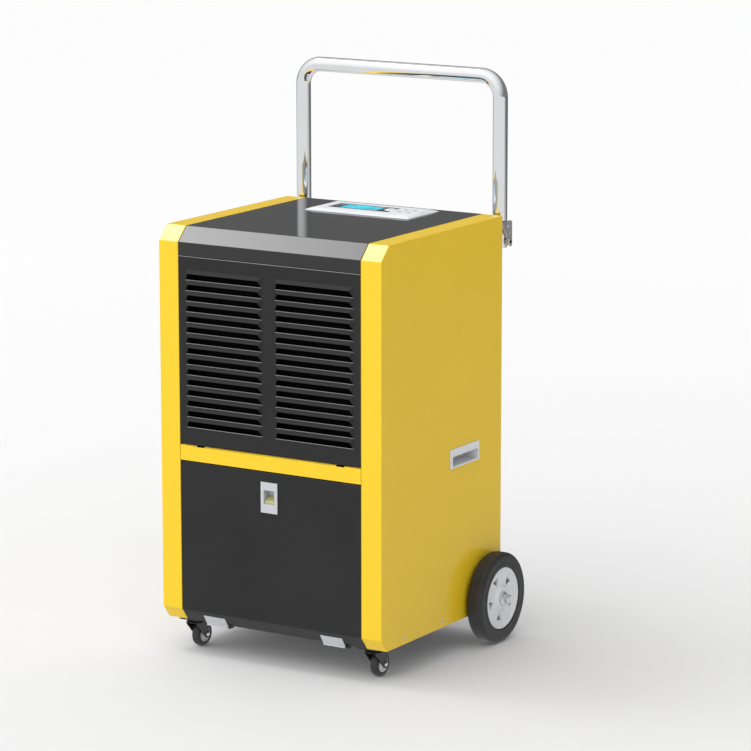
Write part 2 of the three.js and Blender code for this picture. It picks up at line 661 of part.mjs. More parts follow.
// A push button with a slightly domed cap.
function button(name, [x, y], { radius, rise }, material) {
  const top = PANEL_TOP + rise;
  const profile = [
    [0, PANEL_TOP - BUTTON_DEPTH],
    [radius, PANEL_TOP - BUTTON_DEPTH],
    [radius, top - rise / 2],
    [radius * 0.8, top],
    [0, top],
  ];
  return piece(name, turned("z", profile, radius > 6 ? MEDIUM : COARSE, [x, y, 0]), material);
}

// ---------------------------------------------------------------- push handle

// The bent chrome tube, drilled for the pivot bolts.
function pushHandle() {
  const { x, y, top, foot } = HANDLE;
  const path = roundedPath([[-x, y, foot], [-x, y, top], [x, y, top], [x, y, foot]], HANDLE.bend, 5);
  const tube = swept(path, HANDLE.tube, 12, HANDLE.tube - HANDLE.wall);
  const drill = rod("x", PIVOT_BOLT.bore, [-HALF, HALF], [0, y, HANDLE.pivotZ], 16);
  return piece("push_handle", cut(tube, drill), CHROME);
}

// A channel bolted to the back whose two ears hold the foot of the handle.
function handleBracket(name, side) {
  const near = HANDLE.x - HANDLE.tube - BRACKET.earGap;
  const far = HANDLE.x + HANDLE.tube + BRACKET.earGap;
  const z = [BRACKET.bottom, BRACKET.top];
  const front = BACK + GAP;
  const webX = onSide(side, near - BRACKET.thick, far + BRACKET.thick);
  const web = block(webX, [front, front + BRACKET.thick], z);
  const corner = 5;
  const outline = new THREE.Shape();
  outline.moveTo(front, z[0]);
  outline.absarc(BRACKET.back - corner, z[0] + corner, corner, -Math.PI / 2, 0, false);
  outline.absarc(BRACKET.back - corner, z[1] - corner, corner, 0, Math.PI / 2, false);
  outline.lineTo(front, z[1]);
  const ears = [
    prismX(outline, onSide(side, near - BRACKET.thick, near), 3),
    prismX(outline, onSide(side, far, far + BRACKET.thick), 3),
  ];
  const pivotHole = rod("x", PIVOT_BOLT.radius + GAP, [-HALF, HALF], [0, HANDLE.y, HANDLE.pivotZ]);
  const spareHole = rod("x", BRACKET.hole, [-HALF, HALF], [0, HANDLE.y + 2, BRACKET.holeZ]);
  return piece(name, cut(join(web, ...ears), pivotHole, spareHole), ZINC);
}

// The bolt a handle foot turns on, with a hexagon head outside and a nut inside.
function pivotBolt(name, side) {
  const { radius, headRadius, head } = PIVOT_BOLT;
  const near = HANDLE.x - HANDLE.tube - BRACKET.earGap - BRACKET.thick - GAP;
  const far = HANDLE.x + HANDLE.tube + BRACKET.earGap + BRACKET.thick + GAP;
  const centre = [0, HANDLE.y, HANDLE.pivotZ];
  const shank = rod("x", radius, onSide(side, near - head, far + 1), centre, 16);
  const hexagon = rod("x", headRadius, onSide(side, far, far + head), centre, 6);
  const nut = rod("x", headRadius, onSide(side, near - head, near), centre, 6);
  return piece(name, join(shank, hexagon, nut), ZINC);
}

// ---------------------------------------------------------------- wheels

// A tyre's half section and its mirror, with rounded shoulders, for a wheel centred on its own axis.
function tyreProfile(radius, bore, width, shoulder, steps) {
  const half = width / 2;
  const outer = [];
  for (let k = 0; k <= steps; k++) {
    const angle = (k * Math.PI) / 2 / steps;
    const inward = shoulder * (1 - Math.sin(angle));
    outer.push([radius - inward, half - shoulder + shoulder * Math.cos(angle)]);
  }
  const rising = outer.map(([r, along]) => [r, -along]);
  return [[bore, -half], ...rising, ...outer.reverse(), [bore, half], [bore, -half]];
}

// A radius whose polygon has its flat sides at that distance from the axis.
const acrossFlats = (radius, faces) => radius / Math.cos(Math.PI / faces);

function rearTyre(name) {
  const profile = tyreProfile(
    acrossFlats(WHEEL.radius, FINE),
    WHEEL.rim + GAP,
    WHEEL.width,
    WHEEL.shoulder,
    2,
  );
  return piece(name, turned("x", profile, FINE, [0, 0, 0], true), RUBBER);
}

// The light wheel centre: hub barrel, dished web with five three-sided openings, and seat ring.
function rearRim(name) {
  const half = WHEEL.width / 2;
  const seat = sleeve("x", [WHEEL.rim - 5, WHEEL.rim], [-half + 1.5, half - 1.5], [0, 0, 0], FINE);
  const hub = 18;
  const web = turned(
    "x",
    [
      [AXLE.bore, -half + 3],
      [hub, -half + 3],
      [hub, half - 10],
      [WHEEL.rim - 3, half - 7],
      [WHEEL.rim - 3, half - 3],
      [hub + 6, half - 4],
      [hub, half - 1],
      [AXLE.bore, half - 1],
      [AXLE.bore, -half + 3],
    ],
    FINE,
  );
  const { count, near, far, half: wide, start } = WHEEL_OPENING;
  const openings = [];
  for (let k = 0; k < count; k++) {
    const tool = prismX([[near, 0], [far, -wide], [far, wide]], [-WHEEL.width, WHEEL.width]);
    openings.push(tool.rotateX((k * 2 * Math.PI) / count + start));
  }
  const centre = cut(join(seat, web), ...openings);
  return piece(name, centre.rotateX(Math.PI / FINE), WHITE_PLASTIC);
}

// The cap nut over the end of the axle: a collar, a cone and a round nub.
function hubCap(name) {
  const start = WHEEL.width / 2 - 1 + GAP;
  const end = start + HUB_CAP.length;
  const profile = [
    [0, start],
    [HUB_CAP.radius, start],
    [HUB_CAP.radius, start + HUB_CAP.collar],
    [HUB_CAP.tip, start + HUB_CAP.cone],
    [HUB_CAP.tip, end - HUB_CAP.edge],
    [HUB_CAP.tip - HUB_CAP.edge, end],
    [0, end],
  ];
  return piece(name, turned("x", profile, COARSE), ZINC);
}

// One rear wheel with its outer face to the right. The left one is turned half round.
function rearWheel(word, side) {
  const wheel = new THREE.Group();
  wheel.add(rearTyre("rear_tyre_" + word), rearRim("rear_rim_" + word), hubCap("hub_cap_" + word));
  wheel.rotation.z = side > 0 ? 0 : Math.PI;
  wheel.position.set(side * (WHEEL.inside + WHEEL.width / 2), WHEEL.y, axleHeight());
  return wheel;
}

function rearAxle() {
  const shaft = rod("x", AXLE.radius, [-AXLE.end, AXLE.end], [0, WHEEL.y, axleHeight()], MEDIUM);
  return piece("rear_axle", shaft, ZINC);
}

// A front caster about its own swivel axis: top plate and raceway, trailing fork, wheel and axle bolt.
function caster(word, side) {
  const group = new THREE.Group();
  group.position.set(side * CASTER.x, CASTER.y, 0);
  const hubCentre = [0, CASTER.trail, CASTER.radius - CABINET.floorGap];
  group.add(
    casterPlate("caster_plate_" + word),
    casterFork("caster_fork_" + word, hubCentre),
    casterTyre("caster_tyre_" + word, hubCentre),
    casterHub("caster_hub_" + word, hubCentre),
    casterBolt("caster_bolt_" + word, hubCentre),
  );
  return group;
}

function casterPlate(name) {
  const { x, y, thick: depth, raceway, raceDepth } = CASTER_PLATE;
  const under = FORK.top - FORK.plate;
  const plate = prismZ(roundedRectangle([-x, x], y, 5), [-depth, -GAP], 3);
  const ring = rod("z", raceway, [-raceDepth, -1], [0, 0, 0], MEDIUM);
  const kingpin = rod("z", KINGPIN.radius, [under - KINGPIN.head, -1], [0, 0, 0]);
  const head = rod("z", KINGPIN.headRadius, [under - KINGPIN.head, under - GAP], [0, 0, 0], 6);
  return piece(name, join(plate, ring, kingpin, head), BLACK_STEEL);
}

function casterFork(name, [, y, z]) {
  const under = FORK.top - FORK.plate;
  const crown = turned(
    "z",
    [
      [KINGPIN.bore, under],
      [FORK.crown, under],
      [FORK.crown - 1.5, FORK.top],
      [KINGPIN.bore, FORK.top],
      [KINGPIN.bore, under],
    ],
    MEDIUM,
  );
  const outline = new THREE.Shape();
  outline.moveTo(-FORK.crown + 4, FORK.top - 0.4);
  outline.lineTo(-FORK.crown + 4, under - 3);
  outline.absarc(y, z, FORK.foot, Math.PI * 1.2, Math.PI * 2.05, false);
  outline.lineTo(FORK.crown + 3, under - 2);
  outline.lineTo(FORK.crown - 2, FORK.top - 0.4);
  const arms = [-1, 1].map((side) => prismX(outline, onSide(side, FORK.inner, FORK.inner + FORK.thick), 4));
  const hole = rod("x", FORK.axle + 0.2, [-CASTER_PLATE.x, CASTER_PLATE.x], [0, y, z]);
  return piece(name, cut(join(crown, ...arms), hole), BLACK_STEEL);
}

function casterTyre(name, centre) {
  const radius = acrossFlats(CASTER.radius, MEDIUM);
  const profile = tyreProfile(radius, CASTER.rim + GAP, CASTER.width, 4, 2);
  return piece(name, turned("x", profile, MEDIUM, centre, true), RUBBER);
}

function casterHub(name, centre) {
  const half = CASTER.width / 2;
  const profile = [
    [CASTER.bore, -half - 1],
    [6, -half - 1],
    [7, -half + 2],
    [CASTER.rim, -half + 0.6],
    [CASTER.rim, half - 0.6],
    [7, half - 2],
    [6, half + 1],
    [CASTER.bore, half + 1],
    [CASTER.bore, -half - 1],
  ];
  return piece(name, turned("x", profile, MEDIUM, centre, true), WHITE_PLASTIC);
}

function casterBolt(name, centre) {
  const outside = FORK.inner + FORK.thick + GAP;
  const shank = rod("x", FORK.axle, [-outside - 2, outside + 2], centre);
  const ends = [-1, 1].map((side) => rod("x", 4.6, onSide(side, outside, outside + 3), centre));
  return piece(name, join(shank, ...ends), ZINC);
}

// ---------------------------------------------------------------- inside

// The shelf and drip tray under the coils, with a spout over the tank and holes for the pipes.
function dripTray() {
  const x = [-BAY_FIT, BAY_FIT];
  const y = [BAND.depth + 2, BACK - SHEET - GAP];
  const pan = block(x, y, [TRAY.z, TRAY.z + TRAY.wall]);
  const hollow = block([x[0] + 2, x[1] - 2], [y[0] + 2, y[1] - 2], [TRAY.z + 2, TRAY.z + TRAY.wall + 1]);
  const spoutAt = [TRAY.spoutX, TRAY.spoutY, 0];
  const spout = rod("z", 9, [TRAY.z - 18, TRAY.z + 1], spoutAt);
  const drain = rod("z", 6, [TRAY.z - 19, TRAY.z + 3], spoutAt);
  const pipeHoles = [SUCTION, DISCHARGE].map(({ downY }) =>
    rod("z", PIPE.hole, [TRAY.z - 1, TRAY.z + 3], [PIPE.x, downY, 0]),
  );
  return piece("drip_tray", cut(join(cut(pan, hollow), spout), drain, ...pipeHoles), DARK_PLASTIC);
}

// The plan of a fin pack: fins standing on both faces of a thin plate that holds the tubes.
function finOutline([front, back]) {
  const { half, fins, finThick, core } = COIL;
  const pitch = (2 * half - finThick) / (fins - 1);
  const middle = (front + back) / 2;
  const edge = (tip, root) => {
    const points = [];
    for (let k = 0; k < fins; k++) {
      const left = -half + k * pitch;
      if (k > 0) points.push([left, root]);
      points.push([left, tip], [left + finThick, tip]);
      if (k < fins - 1) points.push([left + finThick, root]);
    }
    return points;
  };
  return [...edge(front, middle - core / 2), ...edge(back, middle + core / 2).reverse()];
}

// A finned coil: end plates, fin pack and the return bends of its tubes on the right.
function coil(name, front) {
  const { half, bottom, top, depth } = COIL;
  const y = [front, front + depth];
  const fins = prismZ(finOutline([y[0] + 2, y[1] - 2]), [bottom + 3, top - 3]);
  const plates = [-1, 1].map((side) => block(onSide(side, half - 1.5, half), y, [bottom, top]));
  const middle = (y[0] + y[1]) / 2;
  const spacing = (top - bottom) / COIL.bends;
  const bends = [];
  for (let k = 0; k < COIL.bends; k++) {
    const low = bottom + spacing * (k + 0.25);
    const high = bottom + spacing * (k + 0.75);
    const outside = half + 12;
    const corners = [
      [half - 2, middle, low],
      [outside, middle, low],
      [outside, middle, high],
      [half - 2, middle, high],
    ];
    bends.push(swept(roundedPath(corners, 10, 2), PIPE.radius, 6));
  }
  return piece(name, join(fins, ...plates, ...bends), FINS);
}

// A copper pipe from the left end of a coil, back over the tray and down to the compressor.
function coilPipe(name, coilFront, { startZ, downY }, [portX, portY]) {
  const y = coilFront + COIL.depth / 2;
  const corners = [
    [-COIL.half - GAP, y, startZ],
    [PIPE.x, y, startZ],
    [PIPE.x, downY, startZ],
    [PIPE.x, downY, PIPE.run],
    [portX, portY, PIPE.run],
    [portX, portY, COMPRESSOR.top + PORT.rise + GAP],
  ];
  return piece(name, swept(roundedPath(corners, PIPE.bend, 2), PIPE.radius, 6), COPPER);
}

const PORT = { radius: 6, bore: 3, rise: 4 };
const SUCTION_PORT = [COMPRESSOR.x - 24, COMPRESSOR.y - 16];
const DISCHARGE_PORT = [COMPRESSOR.x + 20, COMPRESSOR.y + 18];
const COMPRESSOR_FOOT = { halfX: 66, halfY: 60, thick: 4, studX: 54, studY: 48, stud: 8, pedestal: 36 };

// The compressor can, standing on its foot plate. Its thick wall carries the weight of the pump and
// motor inside, and its two ports open into it.
function compressor() {
  const { x, y, radius, bottom, top, dome, wall } = COMPRESSOR;
  const canProfile = (by) => [
    [0, bottom + by],
    [radius * 0.7 - by, bottom + dome * 0.3 + by],
    [radius - by, bottom + dome + by],
    [radius - by, top - dome - by],
    [radius * 0.7 - by, top - dome * 0.3 - by],
    [0, top - by],
  ];
  const can = turned("z", canProfile(0), MEDIUM, [x, y, 0]);
  const room = turned("z", canProfile(wall), MEDIUM, [x, y, 0]);
  const foot = COMPRESSOR_FOOT;
  const under = bottom - 2 * foot.thick;
  const plateY = [y - foot.halfY, y + foot.halfY];
  const plate = block([x - foot.halfX, x + foot.halfX], plateY, [under, under + foot.thick]);
  const pedestal = rod("z", foot.pedestal, [under + 1, bottom + wall], [x, y, 0], MEDIUM);
  const studs = [-1, 1].flatMap((a) =>
    [-1, 1].map((b) =>
      rod("z", foot.stud, [PAN_FLOOR + GAP, under + 1], [x + a * foot.studX, y + b * foot.studY, 0], 8),
    ),
  );
  const ports = (portRadius, reach) =>
    [SUCTION_PORT, DISCHARGE_PORT].map(([px, py]) =>
      rod("z", portRadius, [top - dome - reach, top + PORT.rise + reach], [px, py, 0], 8),
    );
  const whole = join(can, plate, pedestal, ...studs, ...ports(PORT.radius, 0));
  return piece("compressor", cut(whole, room, ...ports(PORT.bore, wall)), BLACK_STEEL);
}

// The plate with the fan's round mouth, and the spider that carries the motor.
function fanShroud() {
  const { half, top, plateY, sheet, collarY, arm, shaftRoom } = SHROUD;
  const centre = [0, 0, FAN.z];
  const { mouth } = FAN;
  const sheetY = [plateY, plateY + sheet];
  const plate = block([-half, half], sheetY, [TRAY.z + TRAY.wall + 4, top]);
  const collar = sleeve("y", [mouth, mouth + sheet], collarY, centre, FINE);
  const opening = rod("y", mouth, grow(sheetY, 5), centre, FINE);
  const spider = [MOTOR.y[1] + GAP, MOTOR.y[1] + 2 * sheet];
  const ring = sleeve("y", [shaftRoom, MOTOR.radius], spider, centre);
  const reach = mouth + arm;
  const legs = [];
  for (let k = 0; k < 4; k++) {
    const bar = block([0, reach], spider, [-arm, arm]);
    const post = block([mouth + 1, reach], [spider[0], plateY + sheet / 2], [-arm, arm]);
    const angle = Math.PI / 4 + (k * Math.PI) / 2;
    legs.push(...[bar, post].map((part) => part.rotateY(angle).translate(...centre)));
  }
  const room = rod("y", shaftRoom, grow(spider, 1), centre);
  return piece("fan_shroud", cut(join(cut(plate, opening), collar, ring, ...legs), room), ZINC);
}

function fanMotor() {
  const centre = [0, 0, FAN.z];
  const { radius, y, shaft } = MOTOR;
  const profile = [[0, y[0]], [radius - 10, y[0]], [radius, y[0] + 8], [radius, y[1]], [0, y[1]]];
  const can = turned("y", profile, MEDIUM, centre);
  const spindle = rod("y", shaft, [y[1] - 1, FAN.rotorY[1] + 3], centre, MEDIUM);
  return piece("fan_motor", join(can, spindle), BLACK_STEEL);
}

// The fan wheel: a hub with twisted blades.
function fanRotor() {
  const [front, back] = FAN.rotorY;
  const middle = (front + back) / 2;
  const hub = sleeve("y", [MOTOR.shaftBore, FAN.hub], [front, back], [0, 0, FAN.z]);
  const root = FAN.hub - 4;
  const length = FAN.tip - root;
  const blades = [];
  for (let k = 0; k < FAN.blades; k++) {
    const blade = new THREE.BoxGeometry(BLADE.chord, BLADE.thick, length, 2, 1, 3);
    blade.translate(0, 0, root + length / 2);
    const places = blade.getAttribute("position");
    for (let i = 0; i < places.count; i++) {
      const reach = places.getZ(i) / FAN.tip;
      const pitch = BLADE.hubPitch - BLADE.twist * reach;
      const widening = BLADE.rootWidth + (1 - BLADE.rootWidth) * reach;
      const [x, y] = [places.getX(i) * widening, places.getY(i)];
      places.setX(i, x * Math.cos(pitch) - y * Math.sin(pitch));
      places.setY(i, x * Math.sin(pitch) * BLADE.lean + y * Math.cos(pitch));
    }
    blades.push(blade.rotateY((k * 2 * Math.PI) / FAN.blades).translate(0, middle, FAN.z));
  }
  return piece("fan_rotor", join(hub, ...blades), DARK_PLASTIC);
}

// The pull-out water tank, open at the top, with a grab bar across it and a cut-back front foot.
function waterTank() {
  const { half, front, back, bottom, top, wall } = TANK;
  const outline = [
    [front + TANK.cut, bottom],
    [front, bottom + TANK.cut],
    [front, top],
    [back, top],
    [back, bottom],
  ];
  const shell = prismX(outline, [-half, half]);
  const hollow = prismX(inset(outline, wall), [-half + wall, half - wall]);
  const mouth = block([-half + wall, half - wall], [front + wall, back - wall], [top - 2 * wall, top + 1]);
  const bar = block([-half + 1, half - 1], TANK.barY, [top - 10, top - 2]);
  return piece("water_tank", join(cut(shell, hollow, mouth), bar), CLEAR_GREY);
}

// The float that rises with the water and stops the machine when the tank is full.
function tankFloat() {
  const { x, pivotY, pivotZ, reach, size, height, arm, armX } = FLOAT;
  const width = grow([x, x], size / 2);
  const bobBack = pivotY - reach + size;
  const pivot = rod("x", 3, width, [0, pivotY, pivotZ]);
  const arms = [-armX, armX].map((at) =>
    block(grow([x + at, x + at], arm), [bobBack - 2, pivotY], grow([pivotZ, pivotZ], arm)),
  );
  const bob = block(width, [pivotY - reach, bobBack], [pivotZ - height, pivotZ + arm]);
  return piece("tank_float", join(pivot, bob, ...arms), WHITE_PLASTIC);
}

// The electrical box beside the compressor, with its cable opening.
function controlBox() {
  const { x, y, z, wall } = CONTROL_BOX;
  const shell = block(x, y, z);
  const inside = block(grow(x, -wall), grow(y, -wall), grow(z, -wall));
  const cables = rod("z", 12, [z[1] - 5, z[1] + 5], [x[0] + 30, y[1] - 30, 0]);
  return piece("control_box", cut(shell, inside, cables), ZINC);
}

// ---------------------------------------------------------------- the machine

const machine = new THREE.Group();
const cabinet = new THREE.Group();
cabinet.position.set(0, -MIDDLE_Y, CABINET.floorGap);
machine.add(cabinet);

cabinet.add(topCover(), centreBand(), rearPanel(), outletGuard(), baseTray());
cabinet.add(frontGrille(), airFilter(), tankDoor(), doorPull(), doorPullInsert());
cabinet.add(controlBezel(), screenFrame(), lcdScreen());
cabinet.add(button("power_button", [POWER_BUTTON.x, POWER_BUTTON.y], POWER_BUTTON, WHITE_PLASTIC));
setButtonPlaces().forEach(([x, y], i) => {
  cabinet.add(button("set_button_" + (i + 1), [x, y], SET_BUTTON, LIGHT_GREY));
});
cabinet.add(pushHandle(), rearAxle());
for (const [word, side] of SIDES) {
  cabinet.add(sidePanel("side_panel_" + word, side), sideGrip("side_grip_" + word, side));
  cabinet.add(hingeLeaf("hinge_leaf_" + word, side), hingePin("hinge_pin_" + word, side));
  cabinet.add(handleBracket("handle_bracket_" + word, side), pivotBolt("handle_bolt_" + word, side));
  cabinet.add(rearWheel(word, side), caster(word, side));
}
cabinet.add(dripTray(), coil("evaporator", COIL.evaporatorY), coil("condenser", COIL.condenserY));
cabinet.add(coilPipe("suction_pipe", COIL.evaporatorY, SUCTION, SUCTION_PORT));
cabinet.add(coilPipe("discharge_pipe", COIL.condenserY, DISCHARGE, DISCHARGE_PORT));
cabinet.add(compressor(), controlBox(), fanShroud(), fanMotor(), fanRotor());
cabinet.add(waterTank(), tankFloat());

export default machine;
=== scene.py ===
"""Looks of a portable commercial dehumidifier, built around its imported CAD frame.

Folded sheets keep the shape of their CAD nodes and get rolled edges. Round, swept and moulded pieces
are made afresh with fine surfaces. Every piece has a procedural material. Lengths are in metres unless
a name says otherwise: MM turns millimetres into metres.
"""
import json
import math

import bmesh
import bpy
from mathutils import Euler, Matrix, Vector

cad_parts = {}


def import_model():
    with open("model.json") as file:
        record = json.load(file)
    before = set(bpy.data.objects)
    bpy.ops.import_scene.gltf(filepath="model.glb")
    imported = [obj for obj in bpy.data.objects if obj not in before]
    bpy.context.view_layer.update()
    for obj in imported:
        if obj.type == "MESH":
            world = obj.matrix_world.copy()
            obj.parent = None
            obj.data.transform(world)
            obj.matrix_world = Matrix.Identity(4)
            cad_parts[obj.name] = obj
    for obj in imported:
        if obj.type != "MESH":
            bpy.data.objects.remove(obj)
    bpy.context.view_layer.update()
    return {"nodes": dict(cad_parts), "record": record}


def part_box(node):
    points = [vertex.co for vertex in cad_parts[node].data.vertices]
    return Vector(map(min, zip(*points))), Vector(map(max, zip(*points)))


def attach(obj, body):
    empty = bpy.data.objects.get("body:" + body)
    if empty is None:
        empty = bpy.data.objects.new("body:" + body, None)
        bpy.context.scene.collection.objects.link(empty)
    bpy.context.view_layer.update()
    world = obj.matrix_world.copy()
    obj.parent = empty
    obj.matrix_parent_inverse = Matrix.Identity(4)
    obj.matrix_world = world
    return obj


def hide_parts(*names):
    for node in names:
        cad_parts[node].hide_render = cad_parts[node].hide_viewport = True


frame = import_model()

MM = 0.001
FULL_TURN = 2 * math.pi
ROUND = 64  # sides of a round piece of middling size
SMALL_ROUND = 32
WHEEL_ROUND = 128
SIDES = (("left", -1), ("right", 1))

SLOT_OF = {row["node"]: row["material_slot"] for row in frame["record"]["subparts"]}
BODY_OF = {
    node: body
    for body, nodes in frame["record"]["behaviour"]["bodies"].items()
    for node in nodes
}


# ---- materials


# How fine each part of a surface is, in features per metre.
FINENESS = {
    "orange peel": 420,
    "grit": 2600,
    "uneven film": 35,
    "paint tone": 5,
    "spark pits": 1500,
    "moulding waves": 60,
    "plastic tone": 18,
    "rubber bloom": 22,
    "rubber pores": 1800,
    "rubbed patches": 40,
    "polishing lines": 900,
    "chrome haze": 14,
    "chrome tone": 9,
    "zinc flakes": 260,
    "zinc grain": 1200,
    "dulled patches": 55,
    "drawing lines": 700,
    "tank ripple": 28,
    "tank tone": 10,
    "cloth fuzz": 300,
    "screen haze": 50,
    "screen dots": 2500,
    "ink tone": 40,
    "ink haze": 80,
    "paper fibre": 8,
}


class Graph:
    """The node graph of a material, a world or a lamp."""

    def __init__(self, name, owner=None):
        self.owner = owner or bpy.data.materials.new(name)
        self.owner.use_nodes = True
        self.tree = self.owner.node_tree
        self.tree.nodes.clear()

    def add(self, kind, settings=None, **inputs):
        node = self.tree.nodes.new("ShaderNode" + kind)
        for key, value in (settings or {}).items():
            setattr(node, key, value)
        for key, value in inputs.items():
            self.feed(node.inputs[key.replace("_", " ")], value)
        return node

    def fed(self, node, values):
        for socket, value in zip(node.inputs, values):
            self.feed(socket, value)
        return node

    def feed(self, socket, value):
        if isinstance(value, bpy.types.Node):
            value = value.outputs[0]
        if isinstance(value, bpy.types.NodeSocket):
            self.tree.links.new(value, socket)
        else:
            socket.default_value = value

    def place(self):
        return self.add("TexCoord").outputs["Object"]

    def stretched(self, scale):
        return self.add("Mapping", Vector=self.place(), Scale=scale)

    def noise(self, grain, detail=2.0, vector=None):
        place = vector or self.place()
        return self.add("TexNoise", Vector=place, Scale=FINENESS[grain], Detail=detail)

    def cells(self, grain):
        return self.add("TexVoronoi", Vector=self.place(), Scale=FINENESS[grain])

    def worked_out(self, kind, operation, *values):
        """A maths node with its sockets fed in order."""
        return self.fed(self.add(kind, {"operation": operation}), values)

    def level(self, value, low, high, source=(0.3, 0.7)):
        """The value carried from the source range to low and high."""
        return self.add(
            "MapRange", Value=value, From_Min=source[0], From_Max=source[1], To_Min=low, To_Max=high
        )

    def varied(self, grain, low, high, detail):
        """A value that wanders between low and high over the surface."""
        return self.level(self.noise(grain, detail), low, high)

    def mix(self, factor, first, second):
        node = self.add("Mix", {"data_type": "RGBA"})
        self.feed(node.inputs[0], factor)
        self.feed(node.inputs[6], first)
        self.feed(node.inputs[7], second)
        return node.outputs[2]

    def bump(self, height, depth, strength=1.0):
        return self.add("Bump", Height=height, Distance=depth, Strength=strength)

    def choose(self, factor, first, second):
        """One shader fading into another."""
        return self.fed(self.add("MixShader"), (factor, first, second))

    def close(self, shader, output="OutputMaterial"):
        self.add(output, Surface=shader)
        return self.owner

    def coat(self, colour, roughness, normal, **others):
        """Closes the graph with a principled surface."""
        settings = {"Base_Color": colour, "Roughness": roughness, "Normal": normal, **others}
        return self.close(self.add("BsdfPrincipled", **settings))


def rgba(colour, factor=1.0):
    return (*(min(1.0, channel * factor) for channel in colour), 1.0)


def clouded(graph, colour, grain, amount):
    """A colour that drifts a little lighter and darker over the surface."""
    cloud = graph.varied(grain, 0.0, 1.0, 3.0)
    return graph.mix(cloud, rgba(colour, 1 - amount), rgba(colour, 1 + amount))


def painted(name, colour, roughness, peel=0.02 * MM, drift=0.03, specular=0.5, bounce=None):
    """Powder coat: a faint orange peel and a roughness that varies with the film. With a bounce
    colour, the light it throws on things nearby has that calmer colour."""
    graph = Graph(name)
    film = graph.noise("orange peel", 2.0)
    skin = graph.bump(graph.noise("grit", 1.0), peel * 0.3, 0.5)
    shader = graph.add(
        "BsdfPrincipled",
        Base_Color=clouded(graph, colour, "paint tone", drift),
        Roughness=graph.varied("uneven film", roughness * 0.94, roughness * 1.06, 4.0),
        Specular_IOR_Level=specular,
        Normal=graph.add("Bump", Height=film, Distance=peel, Strength=0.6, Normal=skin),
    )
    if bounce:
        thrown = graph.add("BsdfDiffuse", Color=rgba(bounce))
        shader = graph.choose(graph.add("LightPath").outputs["Is Diffuse Ray"], shader, thrown)
    return graph.close(shader)


def moulded(name, colour, roughness, grain=0.03 * MM, specular=0.5):
    """Moulded plastic with a fine spark-eroded texture."""
    graph = Graph(name)
    waves = graph.noise("moulding waves", 3.0)
    pits = graph.cells("spark pits")
    relief = graph.worked_out("Math", "ADD", pits, graph.level(waves, 0.0, 0.4))
    return graph.coat(
        clouded(graph, colour, "plastic tone", 0.025),
        graph.level(waves, roughness * 0.9, roughness * 1.1),
        graph.bump(relief, grain),
        Specular_IOR_Level=specular,
    )


def rubber(name, colour):
    """Moulded rubber: a dull bloom, fine pores and faint rubbed patches."""
    graph = Graph(name)
    bloom = graph.varied("rubber bloom", 0.0, 1.0, 5.0)
    pores = graph.noise("rubber pores", 3.0)
    return graph.coat(
        graph.mix(bloom, rgba(colour, 0.85), rgba(colour, 1.2)),
        graph.varied("rubbed patches", 0.42, 0.58, 4.0),
        graph.bump(pores, 0.06 * MM),
        Specular_IOR_Level=0.4,
    )


def chrome(name, colour):
    """Polished tube: very fine polishing lines along it and a breath of haze."""
    graph = Graph(name)
    lines = graph.noise("polishing lines", 2.0, graph.stretched((1.0, 1.0, 0.02)))
    return graph.coat(
        clouded(graph, colour, "chrome tone", 0.02),
        graph.varied("chrome haze", 0.02, 0.05, 4.0),
        graph.bump(lines, 0.002 * MM, 0.3),
        Metallic=1.0,
    )


def plated(name, colour, roughness):
    """Zinc plate: small crystal flakes that differ in tone and gloss."""
    graph = Graph(name)
    tone = graph.add("SeparateColor", Color=graph.cells("zinc flakes").outputs["Color"])
    return graph.coat(
        graph.mix(tone, rgba(colour, 0.86), rgba(colour, 1.1)),
        graph.level(tone, roughness * 0.8, roughness * 1.2, (0.0, 1.0)),
        graph.bump(graph.noise("zinc grain", 2.0), 0.01 * MM),
        Metallic=1.0,
    )


def drawn(name, colour, dull, roughness):
    """Bare drawn metal with patches where the surface has dulled."""
    graph = Graph(name)
    patches = graph.level(graph.noise("dulled patches", 5.0), 0.0, 1.0, (0.42, 0.62))
    return graph.coat(
        graph.mix(patches, rgba(colour), rgba(dull)),
        graph.level(patches, roughness, roughness * 1.6, (0.0, 1.0)),
        graph.bump(graph.noise("drawing lines", 2.0), 0.01 * MM),
        Metallic=1.0,
    )


def translucent(name, colour):
    """Blow-moulded tank plastic: milky, with a soft ripple in its walls."""
    graph = Graph(name)
    ripple = graph.noise("tank ripple", 3.0)
    return graph.coat(
        clouded(graph, colour, "tank tone", 0.04),
        graph.level(ripple, 0.28, 0.42),
        graph.bump(ripple, 0.4 * MM),
        Transmission_Weight=0.55,
        IOR=1.45,
    )


def woven(name, colour, pitch):
    """Filter cloth of crossing threads."""
    graph = Graph(name)
    ways = [
        graph.add("TexWave", {"bands_direction": way}, Vector=graph.place(), Scale=0.1 / pitch)
        for way in "XZ"
    ]
    thread = graph.worked_out("Math", "MAXIMUM", *ways)
    return graph.coat(
        graph.mix(thread, rgba(colour, 0.25), rgba(colour, 1.5)),
        graph.varied("cloth fuzz", 0.7, 0.9, 2.0),
        graph.bump(thread, 0.25 * MM),
        Specular_IOR_Level=0.02,
    )


def lit_screen(name, colour, glow):
    """A back-lit display, brightest in its middle, under a fine grid of dots."""
    graph = Graph(name)
    low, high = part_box("lcd_screen")
    away = graph.worked_out("VectorMath", "DISTANCE", graph.place(), (low + high) / 2)
    falloff = graph.level(away.outputs["Value"], 1.0, 0.0, (0.0, (high - low).length / 2))
    dots = graph.add("TexChecker", Vector=graph.place(), Scale=FINENESS["screen dots"])
    grid = graph.level(dots.outputs[1], 0.0, 0.12, (0.0, 1.0))
    dim = graph.mix(grid, rgba(colour), rgba(colour, 0.3))
    shader = graph.add(
        "BsdfPrincipled",
        Base_Color=rgba(colour, 0.35),
        Roughness=graph.varied("screen haze", 0.12, 0.2, 2.0),
        Emission_Color=graph.mix(falloff, dim, rgba(glow)),
        Emission_Strength=0.75,
    )
    return graph.close(shader)


